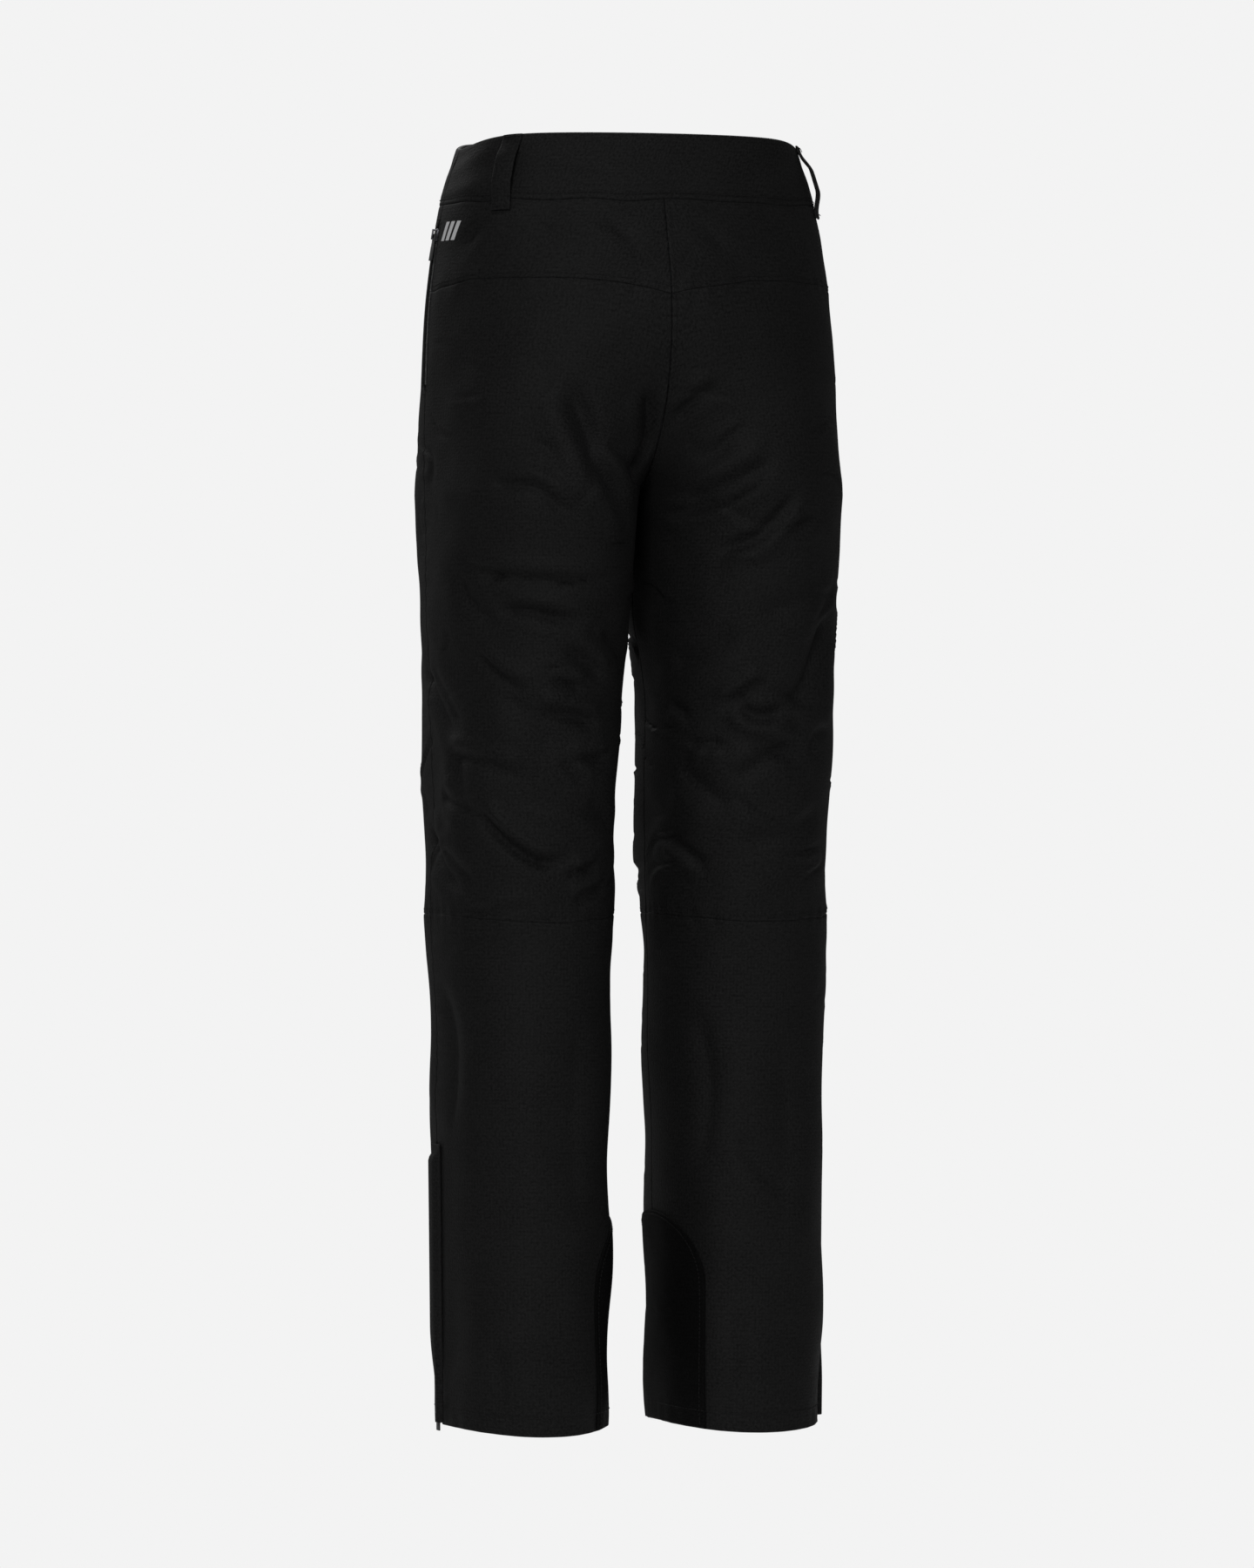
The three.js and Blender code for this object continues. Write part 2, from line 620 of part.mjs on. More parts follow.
function pocketAndLegZips() {
  for (const { side, word } of SIDES) {
    const near = (offset) => (x, drop) => ({ side, turn: turnBy(side, 0, drop, x + offset) });
    zip(`pocket_${word}`, near(-half - SLOT / 2), POCKET, POCKET.from + SLIDER_LENGTH / 2 + 1, PULL_LENGTH);
    const legZip = { from: zipTop, to: OUTSEAM - LEG_ZIP.stop };
    zip(`leg_zip_${word}`, near(0), legZip, OUTSEAM - LEG_ZIP.above_hem, PULL_LENGTH - 3);
    const gusset = SINK + SLIDER_IN + CLEARANCE;
    add(
      `leg_zip_gusset_${word}`,
      sheet({
        columns: (u, drop) => near((u - 0.5) * GUSSET.width)(0, drop), across: 4, rows: 4,
        top: zipTop, bottom: OUTSEAM - LEG_ZIP.stop, outside: gusset, inside: gusset + GUSSET.cloth,
      }),
      LINING_CLOTH,
    );
    // The flap is sewn behind the zip. Its free edge covers the zip and tapers away at the hem.
    const taperFrom = zipTop + LEG_ZIP.covered;
    const taperTo = OUTSEAM - LEG_ZIP.above_hem - SLIDER_LENGTH;
    const freeEdge = sideBy(side, (drop) => {
      const taper = THREE.MathUtils.smoothstep(drop, taperFrom, taperTo);
      return lerp(-SLOT / 2 - FLAP.overlap, SLOT / 2 + FLAP.side_gap, taper);
    });
    add(
      `leg_zip_flap_${word}`,
      sheet({
        columns: between(side, freeEdge, sideBy(side, SLOT / 2 + FLAP.side_gap + FLAP.root)), across: 4,
        top: zipTop - 4, bottom: OUTSEAM - 2,
        rows: levels(zipTop, OUTSEAM - 2, [taperFrom, taperTo], 30).slice(0, -1),
        outside: (v, u) => -flapLift(u) - FLAP.cloth, inside: (v, u) => -flapLift(u),
      }),
      SHELL_CLOTH,
    );
  }
}

// A flap's height over the shell: on it at the sewn edge, u = 1, and clear of the zip from u = 0.5.
const flapLift = (u) => lerp(OVER_ZIP, FLAP.lift, THREE.MathUtils.smoothstep(u, 0.5, 1));

function fly() {
  const centre = -SLOT / 2;
  zip("fly", (x, drop) => frontAt(centre - x, drop), FLY, FLY.from + SLIDER_LENGTH / 2 + 1, PULL_LENGTH - 4);
  const rounded = (drop) => {
    const past = THREE.MathUtils.clamp((drop - (FLY.to + FLY.end - FLY.rounding)) / FLY.rounding, 0, 0.99);
    return -FLY.width * Math.sqrt(1 - past * past);
  };
  add(
    "fly_flap",
    sheet({
      columns: (u, drop) => frontAt(lerp(rounded(drop), FLY.under, u), drop), across: 6,
      top: BAND_HEIGHT + 1, bottom: FLY.to + FLY.end, rows: 6,
      outside: (v, u) => -flyLift(u) - FLY.cloth, inside: (v, u) => -flyLift(u),
    }),
    SHELL_CLOTH,
  );
}
const flyLift = (u) => lerp(OVER_ZIP, FLAP.lift, THREE.MathUtils.smoothstep(u, 0.84, 1));

// ---------------------------------------------------------------- waist tab and press studs
const turned = (outline, segments = 16) =>
  solid(new THREE.LatheGeometry(outline.map(([r, z]) => new THREE.Vector2(r, z)), segments).rotateX(Math.PI / 2));
const round = (r, z0, z1) => turned([[0, z0], [r, z0], [r, z1], [0, z1]]);

function waistTab() {
  const middle = BAND_HEIGHT / 2;
  const studs = [0, 1].map((i) => {
    const { side, turn } = frontAt(-(STUD.first + i * STUD.spacing), middle);
    return frameAt(side, turn, middle);
  });
  let tab = solid(
    sheet({
      columns: (u, drop) => frontAt(lerp(TAB.root, -TAB.reach, u), drop), across: PANEL_COLUMNS,
      top: TAB.edge, bottom: BAND_HEIGHT - TAB.edge, rows: 2,
      outside: -TAB.lift - TAB.cloth, inside: -TAB.lift,
    }),
  );
  for (const stud of studs) tab = tab.subtract(solid(placed(round(CAP.post + FIT, -4, 12), stud)));
  add("waist_tab", geometryOf(tab), SHELL_CLOTH);
  const face = TAB.lift + TAB.cloth + FIT;
  const bore = face + CAP.height - CAP.wall;
  const base = FIT + STUD.plate;
  studs.forEach((stud, i) => {
    const cap = round(CAP.radius, face, face + CAP.height)
      .add(round(CAP.post, TAB.lift, face + CAP.wall / 2))
      .subtract(round(CAP.bore, TAB.lift - 1, bore));
    add(`stud_cap_${i + 1}`, placed(cap, stud), METAL);
    const top = bore - FIT;
    const knob = turned([
      [0, FIT], [STUD.base, FIT], [STUD.base, base], [STUD.neck, base],
      [STUD.knob, top - 0.9], [STUD.knob - 0.5, top], [0, top],
    ]);
    add(`stud_${i + 1}`, placed(knob, stud), METAL);
  });
}

waistband();
beltLoops();
hipPanels();
legPanels();
linings();
pocketAndLegZips();
fly();
waistTab();

export default group;
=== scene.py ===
"""Insulated ski pants, hanging as worn: sewn panels, seams, zips, flaps and fasteners.

Lengths are millimetres in the garment's own frame until a mesh is written in metres. A point
of the garment is named by side (1 on the wearer's left), turn (-1 at the centre front or inside
leg, 0 at the side seam, 1 at the centre back or inside leg), drop below the waist edge and
height over the outer face of the shell cloth.
"""
import logging
import math
from dataclasses import dataclass, field
from enum import Enum
from typing import Callable, Sequence

import bmesh
import bpy
import numpy as np
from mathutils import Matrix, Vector

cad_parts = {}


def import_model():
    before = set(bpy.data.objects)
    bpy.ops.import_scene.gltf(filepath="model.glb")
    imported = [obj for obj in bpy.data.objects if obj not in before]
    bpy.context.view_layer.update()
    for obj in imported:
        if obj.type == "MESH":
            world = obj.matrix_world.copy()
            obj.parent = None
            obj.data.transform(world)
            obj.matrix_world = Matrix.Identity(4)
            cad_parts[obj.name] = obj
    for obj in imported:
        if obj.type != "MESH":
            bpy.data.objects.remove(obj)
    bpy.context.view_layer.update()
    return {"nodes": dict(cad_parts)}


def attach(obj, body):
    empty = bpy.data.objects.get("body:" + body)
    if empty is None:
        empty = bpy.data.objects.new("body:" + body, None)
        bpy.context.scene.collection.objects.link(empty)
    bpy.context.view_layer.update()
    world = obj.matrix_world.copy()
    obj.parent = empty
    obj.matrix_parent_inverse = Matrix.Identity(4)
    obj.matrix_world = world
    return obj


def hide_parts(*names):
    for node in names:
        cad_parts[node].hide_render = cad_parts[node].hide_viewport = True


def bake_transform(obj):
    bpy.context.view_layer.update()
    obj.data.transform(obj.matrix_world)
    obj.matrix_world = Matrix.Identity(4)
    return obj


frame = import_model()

MM = 0.001
HALF_TURN = math.pi / 2
Array = np.ndarray
Columns = Callable[[Array, Array], tuple[Array, Array]]
log = logging.getLogger("ski_pants")


class Side(Enum):
    """A side of the wearer, with its sign along X."""

    LEFT = 1
    RIGHT = -1

    @property
    def word(self) -> str:
        """The side's name, as it ends the names of pieces and bodies."""
        return self.name.lower()


class Edge(Enum):
    """How an edge of a cloth piece is finished."""

    SEWN = "dips into a seam"
    FOLDED = "rounded over, as a fold or hem"
    CUT = "plain"


class Follow(Enum):
    """How a layer follows the folds of the shell."""

    ALL = "in and out"
    INWARD = "only where the shell presses in"
    NONE = "not at all"


def smooth(value: Array, low: float, high: float) -> Array:
    """Rise smoothly from 0 at low to 1 at high."""
    t = np.clip((value - low) / (high - low), 0.0, 1.0)
    return t * t * (3.0 - 2.0 * t)


def unit(vectors: Array) -> Array:
    """Scale vectors to length 1."""
    return vectors / np.maximum(np.linalg.norm(vectors, axis=-1, keepdims=True), 1e-9)


def swell(points: Array, wavelengths: tuple[float, float, float], seed: int) -> Array:
    """Random soft waves in space.

    Args:
        points: positions, the last axis holding x, y and z.
        wavelengths: typical distance between crests along x, y and z.
        seed: fixes the waves.

    Returns:
        Values of about -1 to 1, one for each point.
    """
    count = 18
    rng = np.random.default_rng(seed)
    total = np.zeros(points.shape[:-1])
    for _ in range(count):
        direction = unit(rng.normal(size=3)) * rng.uniform(0.6, 1.5)
        wave = 2.0 * math.pi * direction / np.array(wavelengths)
        total += np.cos(points @ wave + rng.uniform(0.0, 2.0 * math.pi))
    return total / math.sqrt(count)


# ---------------------------------------------------------------- garment surface
@dataclass(frozen=True)
class Cut:
    """Sizes of the garment that the panels share, as in the solid model."""

    outseam: float = 1030.0
    rise: float = 285.0
    band: float = 54.0
    knee: float = 620.0
    fork: float = 165.0
    squareness: float = 2.15
    front_spread: float = 0.62
    seam_gap: float = 0.4
    shell: float = 2.0
    band_cloth: float = 5.0
    lining_depth: float = 7.0
    lining: float = 2.0
    zip_slot: float = 10.0
    slot_ramp: float = 6.0
    zip_sink: float = 2.0
    rim_arch: float = 9.0
    rim_reach: float = 42.0
    rim_fades: float = 62.0
    seam_wave: float = 0.9
    cross_seam_wave: float = 0.8
    seam_wave_reach: float = 9.0
    ease_depth: float = 4.2
    ease_drop: float = 425.0
    ease_reach: float = 62.0
    ease_turns: tuple[float, float] = (0.62, 0.98)
    hem_rise: float = 6.0
    pocket_top: float = 72.0
    pocket_end: float = 198.0
    fly_top: float = 64.0
    fly_end: float = 168.0
    leg_zip: float = 225.0

    @property
    def seam_half(self) -> float:
        """How far a sewn panel stops short of its seam line."""
        return self.seam_gap / 4.0


CUT = Cut()
# Rows of drop, outer and inner half width, and depth before and behind the side seam.
LANDMARKS = np.array([
    (0, 138, 0, 92, 92),
    (CUT.band, 152.5, 0, 98, 104),
    (123, 163, 0, 104, 124),
    (180, 166.5, 0, 108.5, 132),
    (CUT.rise, 168.5, 0, 112, 128),
    (CUT.rise + 119, 164.5, 6, 106, 116),
    (CUT.rise + 165, 163.5, 11, 103, 110),
    (CUT.knee, 160.5, 16.5, 93, 88),
    (CUT.knee + 180, 157.5, 20.5, 84, 88),
    (CUT.outseam, 155, 22, 79, 86),
])
OUTER, INNER, FRONT, BACK = 1, 2, 3, 4


def size_at(column: int, drop: Array) -> Array:
    """A landmark size at a drop, as a smooth curve through the landmarks."""
    x, y = LANDMARKS[:, 0], LANDMARKS[:, column]
    last = len(x) - 1
    after, before = np.minimum(np.arange(last + 1) + 1, last), np.maximum(np.arange(last + 1) - 1, 0)
    slope = (y[after] - y[before]) / (x[after] - x[before])
    i = np.clip(np.searchsorted(x, drop, side="left") - 1, 0, last - 1)
    span = x[i + 1] - x[i]
    s = np.clip((drop - x[i]) / span, 0.0, 1.0)
    rise = s * s * (3.0 - 2.0 * s)
    ends = slope[i] * span * s * (1.0 - s) ** 2 - slope[i + 1] * span * s * s * (1.0 - s)
    return y[i] + (y[i + 1] - y[i]) * rise + ends


def squared(value: Array) -> Array:
    """Push a sine or cosine out towards a slightly square section."""
    return np.sign(value) * np.abs(value) ** (2.0 / CUT.squareness)


def skin(side: Array, turn: Array, drop: Array) -> Array:
    """Points of the outer face of the shell, before folds."""
    side, turn, drop = np.broadcast_arrays(*(np.asarray(v, float) for v in (side, turn, drop)))
    t = np.where(turn > 1.0, turn - 2.0, np.where(turn < -1.0, turn + 2.0, turn))
    outer, inner = size_at(OUTER, drop), size_at(INNER, drop)
    reach = np.where(t < 0.0, -size_at(FRONT, drop), size_at(BACK, drop))
    closing = np.clip((CUT.rise - drop) / CUT.fork, 0.0, 1.0) * HALF_TURN
    opened = np.sin(closing)
    angle = math.pi * np.abs(t)
    spread = HALF_TURN * np.abs(t) ** CUT.front_spread
    leg_x = (outer + inner) / 2.0 + (outer - inner) / 2.0 * squared(np.cos(angle))
    leg_y = reach * squared(np.sin(angle))
    half_x, half_y = outer * squared(np.cos(spread)), reach * squared(np.sin(spread))
    centre = np.where(opened < 1.0, CUT.rise - CUT.fork * (1.0 - np.cos(closing)), drop)
    at_centre = np.where(drop < CUT.rise, np.abs(t) ** 4, 0.0)
    return np.stack([
        side * (leg_x + (half_x - leg_x) * opened + CUT.seam_gap / 2.0),
        leg_y + (half_y - leg_y) * opened,
        -(drop + (centre - drop) * at_centre),
    ], axis=-1)


def frames(side: Array, turn: Array, drop: Array) -> tuple[Array, Array]:
    """Points of the shell with their outward directions."""
    side, turn, drop = np.broadcast_arrays(*(np.asarray(v, float) for v in (side, turn, drop)))
    closed = drop >= CUT.rise
    step = 0.004
    t0 = np.where(closed, turn - step, np.maximum(-1.0, turn - step))
    t1 = np.where(closed, turn + step, np.minimum(1.0, turn + step))
    d0, d1 = np.maximum(0.0, drop - 1.0), np.minimum(CUT.outseam, drop + 1.0)
    across = unit(skin(side, t1, drop) - skin(side, t0, drop))
    down = unit(skin(side, turn, d1) - skin(side, turn, d0))
    out = unit(np.cross(across, down) * -side[..., None])
    return skin(side, turn, drop), out


class ArcTable:
    """Turns for distances along a level of the garment, measured from the side seam."""

    STEP = 5.0
    CELLS = 256

    def __init__(self) -> None:
        """Measure the half rings before and behind the side seam at regular drops."""
        drops = np.arange(0.0, CUT.outseam + self.STEP, self.STEP)
        fine = np.linspace(0.0, 1.0, 700) ** 2
        shares = np.linspace(0.0, 1.0, self.CELLS + 1)
        self.turns: dict[int, Array] = {}
        self.totals: dict[int, Array] = {}
        for half in (-1, 1):
            points = skin(1.0, half * fine[None, :], np.minimum(drops, CUT.outseam)[:, None])
            length = np.cumsum(np.linalg.norm(np.diff(points, axis=1), axis=-1), axis=1)
            length = np.pad(length, ((0, 0), (1, 0)))
            self.totals[half] = length[:, -1]
            rows = [np.interp(shares * row[-1], row, fine) for row in length]
            self.turns[half] = np.array(rows)

    def total(self, half: int, drop: Array) -> Array:
        """Length of a half ring, half being -1 before the side seam and 1 behind it."""
        return np.interp(drop, np.arange(len(self.totals[half])) * self.STEP, self.totals[half])

    def turn(self, drop: Array, distance: Array) -> Array:
        """The turn at a distance behind the side seam, or before it where negative."""
        drop, distance = np.broadcast_arrays(np.asarray(drop, float), np.asarray(distance, float))
        found = np.zeros(drop.shape)
        for half in (-1, 1):
            table = self.turns[half]
            row = np.clip(drop / self.STEP, 0.0, len(table) - 1.001)
            share = np.clip(np.abs(distance) / self.total(half, drop), 0.0, 1.0) * self.CELLS
            share = np.minimum(share, self.CELLS - 1e-6)
            i, j = row.astype(int), share.astype(int)
            a, b = row - i, share - j
            upper = table[i, j] * (1 - b) + table[i, j + 1] * b
            lower = table[i + 1, j] * (1 - b) + table[i + 1, j + 1] * b
            mine = distance < 0 if half < 0 else distance >= 0
            found = np.where(mine, half * (upper * (1 - a) + lower * a), found)
        return found


ARC = ArcTable()


def turn_by(side: float, turn: Array, drop: Array, distance: Array) -> Array:
    """The turn that lies a straight distance from another, along a level."""
    turn, drop, distance = np.broadcast_arrays(*(np.asarray(v, float) for v in (turn, drop, distance)))
    start = skin(side, turn, drop)
    near, far = np.zeros(turn.shape), 0.5 * np.sign(distance)
    for _ in range(24):
        middle = (near + far) / 2.0
        short = np.linalg.norm(skin(side, turn + middle, drop) - start, axis=-1) < np.abs(distance)
        near, far = np.where(short, middle, near), np.where(short, far, middle)
    return turn + near


def front_at(x: Array, drop: Array) -> tuple[Array, Array]:
    """Side and turn of the front point that lies x to the wearer's left of the centre."""
    x, drop = np.broadcast_arrays(np.asarray(x, float), np.asarray(drop, float))
    side = np.where(x < 0.0, -1.0, 1.0)
    near, far = np.full(x.shape, -1.0), np.full(x.shape, -0.3)
    for _ in range(30):
        middle = (near + far) / 2.0
        short = np.abs(skin(side, middle, drop)[..., 0]) < np.abs(x)
        near, far = np.where(short, middle, near), np.where(short, far, middle)
    return side, near


def yoke_seam(turn: Array) -> Array:
    """Drop of the yoke seam, which dips at the side and at the centre back."""
    return 116.0 + 8.0 * (1.0 - np.minimum(1.0, np.abs(turn) * 5.0)) ** 2 + 10.0 * np.abs(turn) ** 3


def knee_seam(turn: Array) -> Array:
    """Drop of the knee seam, a little lower in the middle of each face."""
    return CUT.knee - 2.0 + 6.0 * np.sin(math.pi * np.abs(turn)) ** 2


# ---------------------------------------------------------------- folds of the cloth
@dataclass(frozen=True)
class Fold:
    """A valley in the cloth with a roll beside it.

    Attributes:
        side: where it lies.
        line: (turn, drop) points that it runs through.
        width: half width of the valley.
        depth: depth of the valley.
        roll: height of the roll beside it, as a share of depth.
        lean: 1 puts the roll under the line and the valley over it, -1 the other way round, and
            0 a roll on both sides.
    """

    side: Side
    line: tuple[tuple[float, float], ...]
    width: float = 7.0
    depth: float = 4.0
    roll: float = 0.6
    lean: float = -1.0

    def mirrored(self, share: float) -> "Fold":
        """The same fold on the other side's front, with a share of its depth."""
        other = Side.RIGHT if self.side is Side.LEFT else Side.LEFT
        line = tuple((-turn, drop + 9.0) for turn, drop in self.line)
        return Fold(other, line, self.width * 1.15, self.depth * share, self.roll, self.lean)


L, R = Side.LEFT, Side.RIGHT
SEAT_FOLDS = (
    Fold(L, ((0.48, 195), (0.54, 235), (0.60, 278), (0.74, 318)), 14, 8.0, 0.5, 1.0),
    Fold(L, ((0.90, 182), (0.94, 214), (0.86, 240), (0.76, 266)), 9, 5.5, 0.6, 0.0),
    Fold(R, ((0.76, 184), (0.88, 190), (0.99, 198)), 7, 3.0, 0.5),
    Fold(R, ((0.50, 250), (0.64, 268), (0.80, 290)), 9, 4.5, 0.6),
    Fold(R, ((0.86, 306), (0.67, 297), (0.49, 271)), 6, 3.6, 0.7),
    Fold(R, ((0.68, 338), (0.55, 326), (0.50, 314), (0.40, 282)), 7, 4.6, 0.7),
    Fold(R, ((0.48, 320), (0.31, 306)), 7, 3.0, 0.6),
    Fold(L, ((0.62, 240), (0.74, 262), (0.80, 292)), 8, 3.0, 0.5, 1.0),
)
LEFT_THIGH_FOLDS = (
    Fold(L, ((0.26, 273), (0.40, 277), (0.46, 288), (0.53, 304)), 7, 3.8, 0.7),
    Fold(L, ((0.16, 330), (0.24, 343), (0.42, 351), (0.72, 350)), 7, 2.8, 0.6),
    Fold(L, ((0.27, 372), (0.44, 377), (0.59, 386)), 7, 4.4, 0.7),
    Fold(L, ((0.50, 404), (0.60, 416), (0.69, 430)), 8, 4.2, 0.6),
    Fold(L, ((0.22, 408), (0.32, 428), (0.42, 437)), 6, 3.4, 0.7),
    Fold(L, ((0.47, 430), (0.59, 438)), 5, 3.0, 0.7),
    Fold(L, ((0.42, 454), (0.54, 457), (0.67, 465)), 8, 5.0, 0.7),
    Fold(L, ((0.53, 492), (0.62, 491), (0.71, 489)), 6, 3.6, 0.7),
    Fold(L, ((0.52, 492), (0.57, 503), (0.62, 516)), 6, 3.2, 0.6),
    Fold(L, ((0.10, 486), (0.23, 491), (0.42, 507)), 7, 3.2, 0.6),
    Fold(L, ((0.07, 523), (0.14, 530), (0.22, 541)), 8, 2.2, 0.6, 0.0),
    Fold(L, ((0.24, 528), (0.30, 545), (0.38, 561), (0.47, 572), (0.57, 570)), 7, 5.6, 0.75),
    Fold(L, ((0.54, 584), (0.69, 575)), 5, 3.2, 0.7),
    Fold(L, ((0.56, 604), (0.74, 591)), 6, 3.4, 0.7),
    Fold(L, ((-0.03, 546), (0.05, 575), (0.14, 594), (0.20, 602)), 9, 3.2, 0.6, 0.0),
    Fold(L, ((0.06, 563), (0.15, 579), (0.25, 599)), 8, 2.2, 0.6, 0.0),
    Fold(L, ((-0.03, 420), (0.04, 444), (0.11, 470), (0.16, 486)), 9, 2.8, 0.6, 0.0),
    Fold(L, ((0.02, 418), (0.10, 446), (0.19, 476)), 9, 2.0, 0.6, 0.0),
    Fold(L, ((0.18, 612), (0.32, 611), (0.46, 608)), 5, 1.6, 0.5),
    Fold(L, ((0.16, 346), (0.20, 372), (0.30, 392)), 10, 2.4, 0.5, 0.0),
    Fold(L, ((0.14, 488), (0.18, 520), (0.22, 552)), 12, 2.6, 0.5, 0.0),
    Fold(L, ((0.30, 440), (0.44, 470), (0.50, 498)), 14, 2.6, 0.5, 0.0),
    Fold(L, ((0.62, 396), (0.74, 410), (0.84, 432)), 11, 3.2, 0.5, 0.0),
    Fold(L, ((0.60, 528), (0.70, 540), (0.80, 560)), 10, 2.4, 0.5, 0.0),
)
RIGHT_THIGH_FOLDS = (
    Fold(R, ((0.24, 376), (0.31, 405), (0.38, 440), (0.50, 456)), 17, 5.6, 0.45, 0.0),
    Fold(R, ((0.51, 428), (0.60, 441), (0.68, 454)), 6, 3.6, 0.7),
    Fold(R, ((0.63, 453), (0.54, 467), (0.43, 458)), 7, 4.2, 0.7),
    Fold(R, ((0.39, 472), (0.56, 496), (0.64, 510)), 8, 3.2, 0.6),
    Fold(R, ((0.78, 487), (0.64, 486)), 5, 2.6, 0.7),
    Fold(R, ((0.88, 558), (0.80, 570), (0.70, 587)), 7, 3.0, 0.6),
    Fold(R, ((0.86, 455), (0.77, 464)), 6, 2.6, 0.6),
    Fold(R, ((0.30, 530), (0.45, 548), (0.62, 556)), 10, 2.6, 0.5),
    Fold(R, ((0.84, 420), (0.70, 410), (0.58, 392)), 11, 2.6, 0.5, 0.0),
    Fold(R, ((0.36, 492), (0.48, 482), (0.60, 470)), 9, 3.0, 0.6),
    Fold(R, ((0.82, 500), (0.70, 520), (0.60, 540)), 13, 2.6, 0.5, 0.0),
    Fold(R, ((0.30, 350), (0.44, 372), (0.56, 380)), 12, 2.4, 0.5, 0.0),
)
SHIN_FOLDS = (
    Fold(L, ((0.06, 668), (0.12, 730), (0.10, 800)), 12, 2.2, 0.5, 0.0),
    Fold(L, ((0.62, 690), (0.58, 790), (0.62, 880)), 18, 2.0, 0.5, 0.0),
    Fold(R, ((0.45, 700), (0.42, 800), (0.47, 900)), 18, 2.2, 0.5, 0.0),
    Fold(R, ((0.74, 690), (0.70, 760), (0.74, 830)), 12, 2.0, 0.5, 0.0),
    Fold(R, ((0.62, 795), (0.52, 830), (0.40, 842)), 9, 1.8, 0.6),
    Fold(L, ((0.28, 950), (0.33, 985), (0.30, 1012)), 9, 1.6, 0.5, 0.0),
    Fold(R, ((0.60, 930), (0.57, 970), (0.60, 1005)), 9, 1.6, 0.5, 0.0),
)
YOKE_FOLDS = (
    Fold(L, ((0.36, 60), (0.50, 72), (0.66, 86)), 7, -1.3, 0.4),
    Fold(L, ((0.62, 66), (0.76, 78), (0.92, 92)), 8, -1.1, 0.4),
    Fold(L, ((0.33, 57), (0.40, 70), (0.50, 80)), 5, 1.6, 0.5, 0.0),
    Fold(L, ((0.70, 60), (0.80, 82), (0.90, 104)), 9, 1.5, 0.5, 0.0),
    Fold(L, ((0.22, 58), (0.15, 74), (0.10, 92)), 7, 2.0, 0.5, 0.0),
    Fold(R, ((0.92, 60), (0.82, 76), (0.70, 96)), 9, 1.4, 0.5, 0.0),
    Fold(R, ((0.40, 62), (0.34, 84), (0.30, 108)), 10, 1.6, 0.5, 0.0),
)
FRONT_FOLDS = (
    Fold(L, ((-0.98, 236), (-0.82, 246), (-0.62, 240)), 8, 4.2, 0.7),
    Fold(R, ((-0.98, 242), (-0.80, 256), (-0.58, 262)), 8, 4.4, 0.7),
    Fold(L, ((-0.95, 262), (-0.76, 284), (-0.55, 292)), 7, 3.6, 0.7),
    Fold(R, ((-0.95, 268), (-0.80, 292), (-0.66, 318)), 7, 3.4, 0.7),
)
FRONT_SHARE = 0.62
BACK_FOLDS = SEAT_FOLDS[3:] + LEFT_THIGH_FOLDS + RIGHT_THIGH_FOLDS
FOLDS = (
    SEAT_FOLDS + LEFT_THIGH_FOLDS + RIGHT_THIGH_FOLDS + SHIN_FOLDS + YOKE_FOLDS + FRONT_FOLDS
    + tuple(f.mirrored(FRONT_SHARE) for f in BACK_FOLDS if min(d for _, d in f.line) > CUT.rise)
    + tuple(f.mirrored(1.0) for f in SHIN_FOLDS)
)


